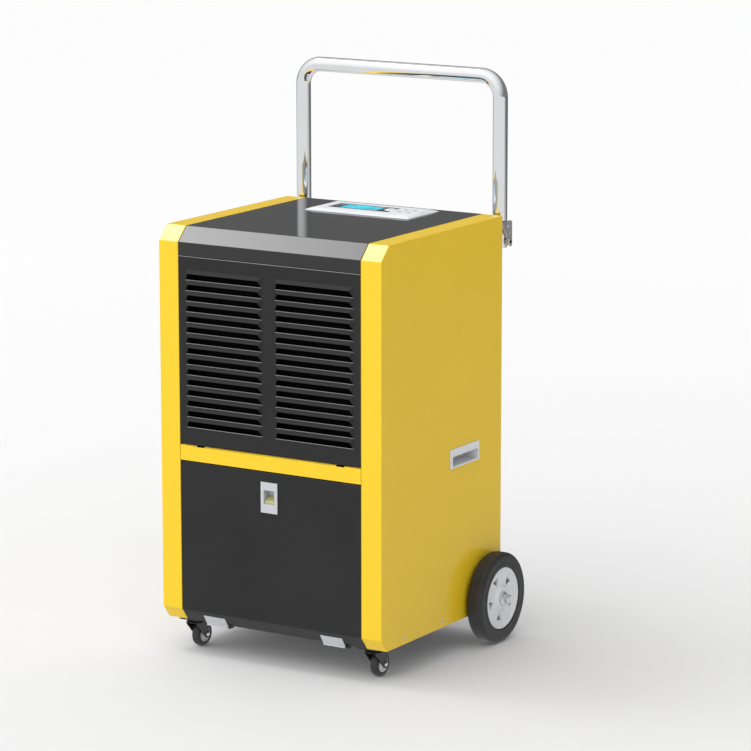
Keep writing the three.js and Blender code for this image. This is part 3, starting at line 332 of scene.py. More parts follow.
YELLOW = {
    "colour": (0.83, 0.56, 0.021),
    "roughness": 0.26,
    "peel": 0.008 * MM,
    "drift": 0.01,
    "bounce": (0.62, 0.52, 0.34),
}
MATERIALS = {
    "yellow_paint": painted("yellow_paint", specular=0.32, **YELLOW),
    "charcoal_paint": painted(
        "charcoal_paint", (0.0185, 0.0185, 0.019), 0.36, drift=0.06, specular=0.22
    ),
    "gloss_black": painted("gloss_black", (0.016, 0.016, 0.017), 0.07, peel=0.004 * MM, drift=0.05),
    "light_grey_plastic": moulded("light_grey_plastic", (0.50, 0.51, 0.54), 0.42),
    "white_plastic": moulded("white_plastic", (0.74, 0.75, 0.77), 0.34, grain=0.015 * MM),
    "dark_plastic": moulded("dark_plastic", (0.02, 0.02, 0.022), 0.55),
    "dark_window": moulded("dark_window", (0.03, 0.033, 0.036), 0.09, grain=0.002 * MM),
    "screen": lit_screen("screen", (0.01, 0.52, 0.74), (0.05, 0.90, 1.0)),
    "olive_plastic": moulded("olive_plastic", (0.47, 0.47, 0.20), 0.4),
    "chrome_tube": chrome("chrome_tube", (0.86, 0.87, 0.88)),
    "zinc_steel": plated("zinc_steel", (0.70, 0.70, 0.71), 0.34),
    "black_steel": painted("black_steel", (0.012, 0.012, 0.013), 0.4, peel=0.03 * MM, drift=0.1),
    "tyre_rubber": rubber("tyre_rubber", (0.026, 0.026, 0.026)),
    "copper": drawn("copper", (0.78, 0.36, 0.19), (0.42, 0.2, 0.11), 0.2),
    "fin_aluminium": drawn("fin_aluminium", (0.74, 0.76, 0.78), (0.5, 0.52, 0.54), 0.3),
    "tank_plastic": translucent("tank_plastic", (0.72, 0.79, 0.82)),
}
YELLOW_CREST = painted("yellow_crest", specular=1.0, **YELLOW)
# Light grey for thin strips on the grille's upward edges: a painted highlight.
PAINTED_HIGHLIGHT_GREY = painted("painted_highlight_grey", (0.27, 0.27, 0.275), 0.4)
# A lighter copy of the light grey plastic for the control housing: painted light for the light that
# falls on its top.
HOUSING_PAINTED_LIGHT_GREY = moulded("housing_painted_light_grey", (0.73, 0.74, 0.77), 0.42)
# The filter cloth is a real part; its near-black colour is painted shade for the dark behind the
# grille's openings.
FILTER_CLOTH_PAINTED_SHADE = woven("filter_cloth_painted_shade", (0.002, 0.002, 0.0022), 1.6 * MM)
INSIDE_GREY = painted("inside_grey", (0.03, 0.03, 0.031), 0.8, drift=0.1, specular=0.1)
# Near-black for faces that only lie in shade: painted shade.
PAINTED_SHADE_BLACK = painted("painted_shade_black", (0.0015, 0.0015, 0.0015), 0.9, drift=0.2, specular=0.02)


# ---- mesh helpers


def made(name, mesh):
    """A new object from a bmesh, with its faces turned outwards."""
    bmesh.ops.recalc_face_normals(mesh, faces=mesh.faces)
    data = bpy.data.meshes.new(name)
    mesh.to_mesh(data)
    mesh.free()
    thing = bpy.data.objects.new(name, data)
    bpy.context.scene.collection.objects.link(thing)
    return thing


def dressed(thing, body, slot, smooth=32, material=None):
    """Gives a piece its material, its shading and the body it rides on."""
    thing.data.materials.clear()
    thing.data.materials.append(material or MATERIALS[slot])
    thing.data.shade_smooth()
    thing.data.set_sharp_from_angle(angle=math.radians(smooth))
    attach(thing, body)
    return thing


def stand_for(thing, node, smooth=32, material=None):
    """The piece takes the place of a CAD node."""
    dressed(thing, BODY_OF[node], SLOT_OF[node], smooth, material)
    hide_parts(node)
    return thing


def stand_in(mesh, node, ending, smooth=32, material=None):
    """Makes a mesh into the piece that takes the place of a CAD node."""
    return stand_for(made(f"{node}_{ending}", mesh), node, smooth, material)


STORED_NORMALS = "custom_normal"
WELD = 0.002 * MM  # vertices closer than this become one
FLAT = math.radians(1)  # faces that turn less than this become one


def shape_of(node):
    """A CAD node's shape as a clean bmesh: vertices merged, flat areas in one face."""
    data = frame["nodes"][node].data.copy()
    stored = data.attributes.get(STORED_NORMALS)
    if stored:
        data.attributes.remove(stored)
    mesh = bmesh.new()
    mesh.from_mesh(data)
    bpy.data.meshes.remove(data)
    bmesh.ops.remove_doubles(mesh, verts=mesh.verts, dist=WELD)
    bmesh.ops.dissolve_limit(
        mesh, angle_limit=FLAT, verts=mesh.verts, edges=mesh.edges, delimit={"NORMAL"}
    )
    mesh.normal_update()
    return mesh


def roll_edges(mesh, width, wanted, steps=3):
    """Rounds the edges that the wanted test picks."""
    edges = [edge for edge in mesh.edges if len(edge.link_faces) == 2 and wanted(edge)]
    bmesh.ops.bevel(
        mesh,
        geom=edges,
        offset=width,
        segments=steps,
        profile=0.5,
        affect="EDGES",
        clamp_overlap=False,
        loop_slide=True,
    )


def sharp(edge, degrees=28):
    return edge.calc_face_angle(0.0) > math.radians(degrees)


def convex(edge):
    return edge.is_convex and sharp(edge)


STRAIGHT_ON = 0.95  # cosine above which a face counts as looking along a direction


def facing(edge, first, second):
    """True for an edge between a face that looks along first and one that looks along second."""
    one, other = (face.normal for face in edge.link_faces)
    pairs = ((one, other), (other, one))
    return any(a.dot(first) > STRAIGHT_ON and b.dot(second) > STRAIGHT_ON for a, b in pairs)


def turn_steps(count):
    """Equal steps round a full turn."""
    return [FULL_TURN * k / count for k in range(count)]


def between(pair, share):
    return pair[0] + (pair[1] - pair[0]) * share


def ring_points(centre, u, v, radius, steps):
    return [centre + radius * (math.cos(a) * u + math.sin(a) * v) for a in turn_steps(steps)]


AXES = {"X": Vector((1, 0, 0)), "Y": Vector((0, 1, 0)), "Z": Vector((0, 0, 1))}
ACROSS = {"X": ("Y", "Z"), "Y": ("Z", "X"), "Z": ("X", "Y")}


def skin(mesh, rings, closed):
    """Joins rings of vertices into a surface. A ring of one vertex is a pole."""
    count = len(rings)
    pairs = [(rings[k], rings[(k + 1) % count]) for k in range(count if closed else count - 1)]
    for first, second in pairs:
        steps = max(len(first), len(second))
        if steps == 1:
            continue
        for k in range(steps):
            after = (k + 1) % steps
            corners = [first[k % len(first)], first[after % len(first)]]
            corners += [second[after % len(second)], second[k % len(second)]]
            corners = list(dict.fromkeys(corners))
            if len(corners) > 2:
                mesh.faces.new(corners)


def capped(mesh, rings):
    """Joins rings into a solid that is closed by a flat face at both ends."""
    skin(mesh, rings, False)
    mesh.faces.new(list(reversed(rings[0])))
    mesh.faces.new(rings[-1])


ON_AXIS = 1e-7  # a smaller radius counts as none


def turned(mesh, profile, steps, axis, centre, flip=1):
    """Adds a turned shape. The profile is [radius, place along the axis] and may touch the axis."""
    along = AXES[axis] * flip
    u, v = (AXES[name] for name in ACROSS[axis])
    rings = []
    for radius, place in profile:
        middle = Vector(centre) + along * place
        points = [middle] if radius < ON_AXIS else ring_points(middle, u, v, radius, steps)
        rings.append([mesh.verts.new(point) for point in points])
    touches_axis = min(profile[0][0], profile[-1][0]) < ON_AXIS
    skin(mesh, rings, not touches_axis)


LONGEST_CURVE = 0.45  # the largest share of a side that one softened corner may use


def softened(points, radius, closed=True, steps=3):
    """An outline with each corner replaced by a short curve. It stays inside the corners."""
    count = len(points)
    result = []
    for i, corner in enumerate(points):
        if not closed and i in (0, count - 1):
            result.append(tuple(corner))
            continue
        here = Vector(corner)
        before = Vector(points[i - 1]) - here
        after = Vector(points[(i + 1) % count]) - here
        start = here + before.normalized() * min(radius, before.length * LONGEST_CURVE)
        end = here + after.normalized() * min(radius, after.length * LONGEST_CURVE)
        for k in range(steps + 1):
            t = k / steps
            result.append(tuple(start * (1 - t) ** 2 + here * 2 * t * (1 - t) + end * t ** 2))
    return result


def scaled(points):
    """Points given in millimetres, in metres."""
    return [tuple(value * MM for value in point) for point in points]


def mirrored(half):
    """A whole profile from the half that starts at its middle."""
    return [(radius, -place) for radius, place in reversed(half) if place] + half


def oblong(low, high):
    """The outline of a rectangle between two opposite corners."""
    return [(low[0], low[1]), (high[0], low[1]), (high[0], high[1]), (low[0], high[1])]


def prism(mesh, outline, axis, span):
    """Adds a solid on a flat outline, extruded along an axis over a span."""
    u, v = (AXES[name] for name in ACROSS[axis])
    bases = [AXES[axis] * place for place in span]
    capped(mesh, [[mesh.verts.new(base + u * a + v * b) for a, b in outline] for base in bases])


def plate(mesh, outline, axis, span, edge):
    """Adds a prism whose rims are rolled."""
    part = bmesh.new()
    prism(part, outline, axis, span)
    roll_edges(part, edge, lambda rim: sharp(rim, 60), 2)
    absorb(mesh, part)


def slab(mesh, low, high, edge=0.0, steps=2):
    """Adds a block between two corners, with rolled edges."""
    part = bmesh.new()
    bmesh.ops.create_cube(part, size=1.0)
    size = Vector(high) - Vector(low)
    middle = (Vector(high) + Vector(low)) / 2
    bmesh.ops.transform(part, matrix=Matrix.LocRotScale(middle, None, size), verts=part.verts)
    if edge:
        roll_edges(part, edge, sharp, steps)
    absorb(mesh, part)


def absorb(mesh, part, matrix=None):
    """Moves everything in one bmesh into another."""
    data = bpy.data.meshes.new("part")
    if matrix:
        bmesh.ops.transform(part, matrix=matrix, verts=part.verts)
    part.to_mesh(data)
    part.free()
    mesh.from_mesh(data)
    bpy.data.meshes.remove(data)


def rounded_path(corners, radius, steps=10):
    """Points along straight runs whose corners are true arcs."""
    points = [Vector(corners[0])]
    for i in range(1, len(corners) - 1):
        here = Vector(corners[i])
        inward = (here - Vector(corners[i - 1])).normalized()
        outward = (Vector(corners[i + 1]) - here).normalized()
        angle = inward.angle(outward)
        start = here - inward * radius * math.tan(angle / 2)
        across = (outward - inward * math.cos(angle)).normalized()
        for k in range(steps + 1):
            turn = angle * k / steps
            bend = inward * math.sin(turn) + across * (1 - math.cos(turn))
            points.append(start + bend * radius)
    points.append(Vector(corners[-1]))
    return points


def piped(mesh, points, radius, sides, bore=0.0):
    """Adds a tube along points, with closed ends or with a bore. Its lips are softened."""
    lip = min(radius * 0.12, 0.6 * MM)
    last = len(points) - 1
    directions = []
    for i in range(last + 1):
        directions.append((points[min(i + 1, last)] - points[max(i - 1, 0)]).normalized())
    side = directions[0].orthogonal().normalized()
    frames = []
    for direction in directions:
        side = (side - direction * side.dot(direction)).normalized()
        frames.append((side.copy(), direction.cross(side)))

    def ring(i, size, shift=0.0):
        middle = points[i] + directions[i] * shift
        return [mesh.verts.new(p) for p in ring_points(middle, *frames[i], size, sides)]

    outer = [ring(0, radius - lip), ring(0, radius, lip)]
    outer += [ring(i, radius) for i in range(1, last)]
    outer += [ring(last, radius, -lip), ring(last, radius - lip)]
    if bore:
        inner = [ring(i, bore) for i in range(last, -1, -1)]
        skin(mesh, outer + inner, True)
    else:
        capped(mesh, outer)


THROUGH_SHEET = (-9 * MM, 9 * MM)  # how far a cutter reaches to both sides of its centre
THROUGH = (-20 * MM, 20 * MM)


def cylinder(name, radius, axis, span, centre, steps=ROUND):
    """A plain rod, used only to cut other pieces."""
    mesh = bmesh.new()
    turned(mesh, oblong((0, span[0]), (radius, span[1])), steps, axis, centre)
    return made(name, mesh)


def block(name, low, high, edge=0.0):
    mesh = bmesh.new()
    slab(mesh, low, high, edge)
    return made(name, mesh)


def carve(thing, cutters, operation="DIFFERENCE"):
    """Cuts pieces out of another, or joins them to it, and removes the tools."""
    for cutter in cutters:
        boolean = thing.modifiers.new("carve", "BOOLEAN")
        boolean.object = cutter
        boolean.operation = operation
        boolean.solver = "EXACT"
        graph = bpy.context.evaluated_depsgraph_get()
        result = bpy.data.meshes.new_from_object(thing.evaluated_get(graph))
        thing.modifiers.clear()
        thing.data = result
        bpy.data.objects.remove(cutter)
    return thing


def span_of(node):
    """A CAD node's low corner, high corner and middle."""
    low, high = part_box(node)
    return low, high, (low + high) / 2


def middle_of(node):
    return span_of(node)[2]


def lathe(node, ending, profile, rounding, axis, centre, steps=ROUND, smooth=32, flip=1):
    """A turned piece that stands for a CAD node. Profile and rounding are in millimetres."""
    outline = scaled(profile)
    if rounding:
        bored = profile[0][0] > 0
        outline = softened(outline, rounding * MM, bored)
    mesh = bmesh.new()
    turned(mesh, outline, steps, axis, centre, flip)
    return stand_in(mesh, node, ending, smooth)


# ---- folded sheets


WIDE_FACE = 4.0e-4  # square metres; a fold runs between two faces larger than this


def is_fold(edge):
    wide = all(face.calc_area() > WIDE_FACE for face in edge.link_faces)
    return wide and edge.is_convex and sharp(edge, 20)


def folded(node, fold):
    """A sheet-metal node whose long folds are rolled."""
    mesh = shape_of(node)
    roll_edges(mesh, fold, is_fold, 4)
    return evened(stand_in(mesh, node, "sheet"))


def eased(node, width, steps=3, smooth=32, material=None):
    """A CAD node with all its convex edges rolled."""
    mesh = shape_of(node)
    roll_edges(mesh, width, convex, steps)
    return evened(stand_in(mesh, node, "eased", smooth, material))


def evened(thing):
    """Keeps large flat faces evenly shaded next to their rolled edges."""
    even = thing.modifiers.new("even", "WEIGHTED_NORMAL")
    even.keep_sharp = True
    return thing


CREST = {"facing": Vector((0, -1, 1)).normalized(), "within": 0.93}  # the top chamfer's faces


def side_panel(word):
    """A folded side. Its top chamfer has the thickest and glossiest film of paint."""
    panel = folded("side_panel_" + word, 1.6 * MM)
    panel.data.materials.append(YELLOW_CREST)
    for face in panel.data.polygons:
        if face.normal.dot(CREST["facing"]) > CREST["within"]:
            face.material_index = 1


# Strips that carry the painted highlight along the grille's upward edges.
HIGHLIGHT_STRIP = {"proud": 0.3 * MM, "high": 1.0 * MM, "edge": 0.15 * MM, "shortest": 100 * MM}


def grille_painted_highlights(mesh):
    """A pale strip along each long upward edge of the grille: a painted highlight for the light line
    that the lit edges show.
    """
    highlight_strips = bmesh.new()
    for edge in mesh.edges:
        if edge.calc_length() > HIGHLIGHT_STRIP["shortest"] and facing(edge, -AXES["Y"], AXES["Z"]):
            first, last = sorted((vert.co for vert in edge.verts), key=lambda place: place.x)
            low = first - Vector((0, HIGHLIGHT_STRIP["proud"], HIGHLIGHT_STRIP["high"]))
            slab(highlight_strips, low, last + Vector((0, HIGHLIGHT_STRIP["proud"], 0)), HIGHLIGHT_STRIP["edge"], 1)
    dressed(made("grille_painted_highlights", highlight_strips), BODY_OF["front_grille"], "charcoal_paint", material=PAINTED_HIGHLIGHT_GREY)


def louvred_grille():
    """The intake grille. Every face behind its front or turned backwards is painted shade: matt black,
    so the openings look as dark as their shade.
    """
    mesh = shape_of("front_grille")
    # pale strips: painted highlight along the upward edges
    grille_painted_highlights(mesh)
    grille = stand_in(mesh, "front_grille", "pressed", 30)
    grille.data.materials.append(PAINTED_SHADE_BLACK)
    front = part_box("tank_door")[0].y + 0.4 * MM
    # faces behind the front or turned backwards get the painted shade
    for face in grille.data.polygons:
        if face.normal.y > 0.2 or face.center.y > front:
            face.material_index = 1
    return evened(grille)


SEAL = {"wall": 2.2 * MM, "front": 1.5 * MM, "back": 2 * MM, "edge": 0.3 * MM}


def filter_seals():
    """Two foam strips that close the gap between the filter and the grille's side walls."""
    low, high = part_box("air_filter")
    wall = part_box("front_grille")[1].x - SEAL["wall"]
    mesh = bmesh.new()
    for _, side in SIDES:
        x = sorted((side * high.x, side * wall))
        start = (x[0], low.y - SEAL["front"], low.z)
        slab(mesh, start, (x[1], low.y + SEAL["back"], high.z), SEAL["edge"])
    dressed(made("filter_seals", mesh), BODY_OF["air_filter"], "dark_plastic", material=INSIDE_GREY)


def shell():
    """The sheets and mouldings of the outside."""
    for word, _ in SIDES:
        side_panel(word)
        eased("side_grip_" + word, 0.6 * MM)
    folded("top_cover", 0.9 * MM)
    eased("centre_band", 0.25 * MM, 2)
    eased("tank_door", 0.7 * MM, 1)
    eased("base_tray", 0.3 * MM, 2)
    louvred_grille()
    # the filter's near-black cloth carries painted shade
    eased("air_filter", 0.4 * MM, 2, material=FILTER_CLOTH_PAINTED_SHADE)
    filter_seals()
    eased("door_pull_bezel", 0.5 * MM)
    eased("door_pull_insert", 0.6 * MM)


# From the small recess out to the rim, in shares of the head's radius and of its rise.
PAN_HEAD = ((0, 0.55), (0.16, 0.55), (0.22, 0.98), (0.6, 0.9), (0.9, 0.55), (1, 0.15), (1, 0), (0, 0))
SIDE_SCREWS = {"insets": (80 * MM, 214 * MM), "rise": 11 * MM}
REAR_SCREWS = {"rows": 5, "inset": 10 * MM, "margin": 20 * MM}


def pan_head(mesh, centre, axis, flip, radius=3.3 * MM, rise=1.3 * MM):
    """A round screw head that stands out from a face."""
    profile = [(radius * out, rise * up) for out, up in PAN_HEAD]
    turned(mesh, profile, SMALL_ROUND, axis, centre, flip)


def side_screws(word, side):
    """Two screws low on a side panel."""
    low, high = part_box("side_panel_" + word)
    face = high.x if side > 0 else low.x
    mesh = bmesh.new()
    for inset in SIDE_SCREWS["insets"]:
        pan_head(mesh, (face, low.y + inset, low.z + SIDE_SCREWS["rise"]), "X", side)
    dressed(made("side_screws_" + word, mesh), "cabinet", "zinc_steel")


def rear_screws():
    """A row of screws down each edge of the back."""
    low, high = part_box("rear_panel")
    margin, last = REAR_SCREWS["margin"], REAR_SCREWS["rows"] - 1
    x = high.x - REAR_SCREWS["inset"]
    mesh = bmesh.new()
    for k in range(last + 1):
        height = between((low.z + margin, high.z - margin), k / last)
        for _, side in SIDES:
            pan_head(mesh, (side * x, high.y, height), "Y", 1)
    dressed(made("rear_screws", mesh), "cabinet", "zinc_steel")


# ---- back


OUTLET = 146 * MM  # radius of the air outlet and of the fan's shroud
GUARD = {
    "rim": 8 * MM,
    "margin": 10 * MM,  # from the rim's outside to the mouth the wires span
    "wire": 1.5 * MM,
    "circles": 3,
    "bars": 3,
    "screws": 4,
}


def fan_axis(y):
    """The point of the fan's axis at a given depth."""
    return Vector((0, y, middle_of("outlet_guard").z))


def rear_panel():
    low, high, middle = span_of("rear_panel")
    sheet = block("rear_panel_sheet", low, high, 0.4 * MM)
    hole = cylinder("hole", OUTLET, "Y", THROUGH_SHEET, fan_axis(middle.y), WHEEL_ROUND)
    return stand_for(carve(sheet, [hole]), "rear_panel")


def outlet_guard():
    """Round wires and crossing bars in a flanged rim, with its screws."""
    low, high, middle = span_of("outlet_guard")
    reach = high.x
    mouth = reach - GUARD["margin"]
    depth = (high.y - low.y) / 2
    wire = GUARD["wire"]
    centre = fan_axis(middle.y)
    mesh = bmesh.new()
    rim = oblong((reach - GUARD["rim"], -depth), (reach, depth))
    turned(mesh, softened(rim, 1.2 * MM), WHEEL_ROUND, "Y", centre)
    for k in range(GUARD["circles"]):
        radius = mouth * (k + 1) / (GUARD["circles"] + 1)
        circle = [(radius + wire * math.cos(a), wire * math.sin(a)) for a in turn_steps(12)]
        turned(mesh, circle, WHEEL_ROUND, "Y", centre)
    bar = Vector((mouth + GUARD["rim"] / 2, depth * 0.62, wire))
    for k in range(GUARD["bars"]):
        part = bmesh.new()
        slab(part, -bar, bar, 0.4 * MM)
        turn = Matrix.Rotation(math.pi * k / GUARD["bars"], 4, "Y")
        absorb(mesh, part, Matrix.Translation(centre) @ turn)
    for angle in turn_steps(GUARD["screws"]):
        turn = Matrix.Rotation(angle + math.pi / 4, 3, "Y")
        place = fan_axis(high.y - 0.6 * MM) + turn @ AXES["X"] * (reach - GUARD["rim"] / 2)
        pan_head(mesh, place, "Y", 1, 2.8 * MM, 0.55 * MM)
    return stand_in(mesh, "outlet_guard", "wires")


BLADE = {
    "count": 5,
    "root": 30 * MM,  # radius where it leaves the hub
    "tip": 138 * MM,
    "half_width": (19 * MM, 33 * MM),  # at the root and at the tip
    "half_pitch": (10.5 * MM, 7.5 * MM),
    "half_thickness": 1.0 * MM,
    "deepest": 15 * MM,  # no part of it lies farther than this from the rotor's middle plane
    "camber": 1.5 * MM,
    "sweep": 0.12,  # radians that the tip runs ahead of the root
    "rows": 10,
    "columns": 8,
}


def blade_section(base, share):
    """The closed outline of a blade at a share of its length: over its front, back under its rear."""
    radius = between((BLADE["root"], BLADE["tip"]), share)
    places = [2 * j / BLADE["columns"] - 1 for j in range(BLADE["columns"] + 1)]
    outline = [(t, 1) for t in places] + [(t, -1) for t in reversed(places)]
    points = []
    for t, face in outline:
        angle = base + t * between(BLADE["half_width"], share) / radius + BLADE["sweep"] * share
        half_skin = BLADE["half_thickness"] * (1 - 0.85 * abs(t) ** 3)
        depth = t * between(BLADE["half_pitch"], share) - BLADE["camber"] * (1 - t * t)
        depth = max(-BLADE["deepest"], min(BLADE["deepest"], depth + half_skin * face))
        points.append(Vector((radius * math.sin(angle), depth, radius * math.cos(angle))))
    return points


def fan_rotor():
    """Five swept blades on a domed hub."""
    centre = fan_axis(middle_of("fan_rotor").y)
    mesh = bmesh.new()
    hub = scaled([(5.3, -15), (30, -15), (32, -13), (32, 9), (28, 14), (12, 15), (5.3, 15)])
    turned(mesh, softened(hub, 2 * MM), ROUND, "Y", centre)
    for base in turn_steps(BLADE["count"]):
        sections = [blade_section(base, row / BLADE["rows"]) for row in range(BLADE["rows"] + 1)]
        capped(mesh, [[mesh.verts.new(centre + point) for point in section] for section in sections])
    return stand_in(mesh, "fan_rotor", "blades", 50)


SHROUD = {
    "plate": (150.5 * MM, 152.5 * MM),  # depths of its two faces
    "collar": (140.5 * MM, 178.5 * MM),
    "wall": 2 * MM,
    "ring": (14 * MM, 48 * MM),  # inner and outer radius of the ring that carries the motor
    "ring_thick": 3.7 * MM,
    "arms": 4,
    "arm_start": 40 * MM,
    "half_arm": 5 * MM,
    "overlap": 1 * MM,
    "edge": 0.6 * MM,
}


def fan_shroud():
    """The plate and collar round the fan, and the arms that hold the motor's ring before it."""
    low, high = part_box("fan_shroud")
    front, back = SHROUD["plate"]
    face, rear = low.y, low.y + SHROUD["ring_thick"]
    half, edge, overlap = SHROUD["half_arm"], SHROUD["edge"], SHROUD["overlap"]
    sheet = block("plate", (low.x, front, low.z), (high.x, back, high.z), 0.3 * MM)
    carve(sheet, [cylinder("hole", OUTLET, "Y", THROUGH_SHEET, fan_axis(front), WHEEL_ROUND)])
    mesh = bmesh.new()
    mesh.from_mesh(sheet.data)
    bpy.data.objects.remove(sheet)
    collar = oblong((OUTLET, SHROUD["collar"][0]), (OUTLET + SHROUD["wall"], SHROUD["collar"][1]))
    turned(mesh, softened(collar, edge), WHEEL_ROUND, "Y", fan_axis(0))
    ring = oblong((SHROUD["ring"][0], face), (SHROUD["ring"][1], rear))
    turned(mesh, softened(ring, edge), ROUND, "Y", fan_axis(0))
    for angle in turn_steps(SHROUD["arms"]):
        part = bmesh.new()
        slab(part, (SHROUD["arm_start"], face, -half), (OUTLET + half, rear, half), edge)
        slab(part, (OUTLET + overlap, face, -half), (OUTLET + half, front + overlap, half), edge)
        turn = Matrix.Rotation(angle + math.pi / 4, 4, "Y")
        absorb(mesh, part, Matrix.Translation(fan_axis(0)) @ turn)
    return stand_in(mesh, "fan_shroud", "formed")


MOTOR = {"radius": 48, "length": 61.5, "ribs": 6, "first_rib": 14, "rib_pitch": 6.5}  # millimetres


def fan_motor():
    """A can with grooves between its ribs, and the end of its shaft."""
    low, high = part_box("fan_motor")
    radius, length = MOTOR["radius"], MOTOR["length"]
    end = (high.y - low.y) / MM
    can = [(0, 0), (radius - 10, 0), (radius, 8)]
    for k in range(MOTOR["ribs"]):
        at = MOTOR["first_rib"] + k * MOTOR["rib_pitch"]
        can += [(radius, at), (radius - 2, at + 1), (radius - 2, at + 2.5), (radius, at + 3.5)]
    can += [(radius, length), (5, length), (5, end - 1), (4, end), (0, end)]
    return lathe("fan_motor", "can", can, 0.8, "Y", fan_axis(low.y))


# ---- handle


TUBE = {"radius": 14 * MM, "wall": 1.5 * MM, "bend": 40 * MM, "hole": 4.2 * MM}
BRACKET_SCREWS = {"rises": (12 * MM, 38 * MM), "sheet": 3 * MM, "radius": 3.2 * MM, "rise": 1.6 * MM}


def push_handle():
    """The bent tube, open at its feet, with the holes its pivot bolts go through."""
    low, high, middle = span_of("push_handle")
    radius = TUBE["radius"]
    x, top = high.x - radius, high.z - radius
    corners = [(-x, middle.y, low.z), (-x, middle.y, top), (x, middle.y, top), (x, middle.y, low.z)]
    mesh = bmesh.new()
    piped(mesh, rounded_path(corners, TUBE["bend"], 20), radius, ROUND, radius - TUBE["wall"])
    bolt = middle_of("handle_bolt_right")
    drills = []
    for _, side in SIDES:
        place = (side * x, bolt.y, bolt.z)
        drills.append(cylinder("drill", TUBE["hole"], "X", THROUGH, place, SMALL_ROUND))
    return stand_for(carve(made("push_handle_tube", mesh), drills), "push_handle")


def handle_bracket(word):
    """The channel bracket and its two screws."""
    node = "handle_bracket_" + word
    eased(node, 0.5 * MM, 2, 40)
    low, _, middle = span_of(node)
    radius, rise = BRACKET_SCREWS["radius"], BRACKET_SCREWS["rise"]
    mesh = bmesh.new()
    for height in BRACKET_SCREWS["rises"]:
        place = (middle.x, low.y + BRACKET_SCREWS["sheet"], low.z + height)
        pan_head(mesh, place, "Y", 1, radius, rise)
    dressed(made("bracket_screws_" + word, mesh), "cabinet", "zinc_steel")


def pivot_bolt(word):
    """A bolt with a chamfered six-sided head and nut."""
    node = "handle_bolt_" + word
    low, high, middle = span_of(node)
    half = (high.x - low.x) / 2 / MM
    thick = 5
    head = [(0, 0), (7.5, 0), (7.5, thick * 0.8), (6.45, thick), (0, thick)]
    mesh = bmesh.new()
    shank = mirrored([(4, half - 0.6), (3.4, half), (0, half)])
    turned(mesh, scaled(shank), SMALL_ROUND, "X", middle)
    for side in (1, -1):
        inner = middle + AXES["X"] * side * (half - thick) * MM
        turned(mesh, scaled(head), 6, "X", inner, side)
    return stand_in(mesh, node, "hex", 20)


# ---- wheels


def rear_tyre(word, side):
    """A solid rubber tyre: crowned tread, round shoulders, stepped sidewall."""
    node = "rear_tyre_" + word
    profile = mirrored([
        (86.5, 0), (86.4, 7), (85.8, 11), (84, 13.8), (81, 15.6), (76, 16.2),
        (67, 15.9), (66, 16.5), (59.3, 16.5),
    ])
    return lathe(node, "moulded", profile, 1.6, "X", middle_of(node), WHEEL_ROUND, 50, side)


OPENING = {
    "count": 5,
    "turn": math.radians(46),
    "corners": scaled([(27, 0), (43, 9.5), (43, -9.5)]),
    "rounding": 1.5 * MM,
}


def rear_rim(word, side):
    """The dished wheel centre with its three-sided openings and a raised hub."""
    node = "rear_rim_" + word
    centre = middle_of("rear_tyre_" + word)
    profile = scaled([
        (8.3, 15.5), (18, 15.5), (21, 14.6), (23, 11.6), (26, 9.4), (46, 10.8), (52, 12.4),
        (54.2, 15), (59, 15), (59, -15), (54.5, -15), (54.5, 4), (50, 6), (22, 5.5), (18, 2),
        (18, -13.5), (8.3, -13.5),
    ])
    mesh = bmesh.new()
    turned(mesh, softened(profile, 1.4 * MM), WHEEL_ROUND, "X", centre, side)
    disc = made(node + "_moulded", mesh)
    cutters = []
    for angle in turn_steps(OPENING["count"]):
        turn = Matrix.Rotation(angle + OPENING["turn"], 2)
        triangle = softened(OPENING["corners"], OPENING["rounding"])
        tool = bmesh.new()
        prism(tool, [centre.yz + turn @ Vector(corner) for corner in triangle], "X", THROUGH)
        bmesh.ops.translate(tool, vec=AXES["X"] * centre.x, verts=tool.verts)
        cutters.append(made("cutter", tool))
    carve(disc, cutters)
    return stand_for(disc, node, 40)


def hub_cap(word, side):
    """A domed cap nut on its washer."""
    profile = [
        (0, 15.8), (13, 15.8), (13, 17.6), (12.2, 18.9), (9.6, 20.2), (8.5, 21.6), (8.5, 28.6),
        (7.6, 30.0), (6.0, 30.6), (3.0, 30.8), (0, 30.8),
    ]
    centre = middle_of("rear_tyre_" + word)
    return lathe("hub_cap_" + word, "turned", profile, 0.7, "X", centre, ROUND, 60, side)


def rear_axle():
    low, high, middle = span_of("rear_axle")
    half = (high.x - low.x) / 2 / MM
    profile = mirrored([(8, half - 1), (7, half), (0, half)])
    return lathe("rear_axle", "bar", profile, None, "X", middle)


CASTER_TRAIL = 19.7 * MM  # from a caster's swivel axis back to its wheel
FORK = {
    "front": ((-13, -0.4), (-13, -5.6)),  # millimetres from the swivel axis and the crown's top
    "rear": ((20, -4.6), (15, -0.4)),
    "foot": 7.8 * MM,  # radius of the arm's end round the wheel's bolt
    "foot_arc": (1.2 * math.pi, 2.05 * math.pi),
    "inner": 10.5 * MM,  # from the wheel's middle plane to the arm's inner and outer face
    "outer": 12.5 * MM,
}


def swivel_axis(word, z):
    """The point of a caster's swivel axis at a given height."""
    wheel = middle_of("caster_tyre_" + word)
    return Vector((wheel.x, wheel.y - CASTER_TRAIL, z))


def caster_wheel(word):
    tyre, hub = "caster_tyre_" + word, "caster_hub_" + word
    centre = middle_of(tyre)
    profile = mirrored([(24.3, 0), (23.8, 4.8), (22.4, 7.2), (19.5, 8.5), (15.8, 8.5)])
    lathe(tyre, "moulded", profile, 1.2, "X", centre, ROUND, 50)
    profile = mirrored([(15.5, 7.9), (14.2, 7.9), (13, 6.6), (8, 6.2), (7, 7), (6, 9.5), (3.4, 9.5)])
    lathe(hub, "moulded", profile, 0.7, "X", centre, ROUND, 50)


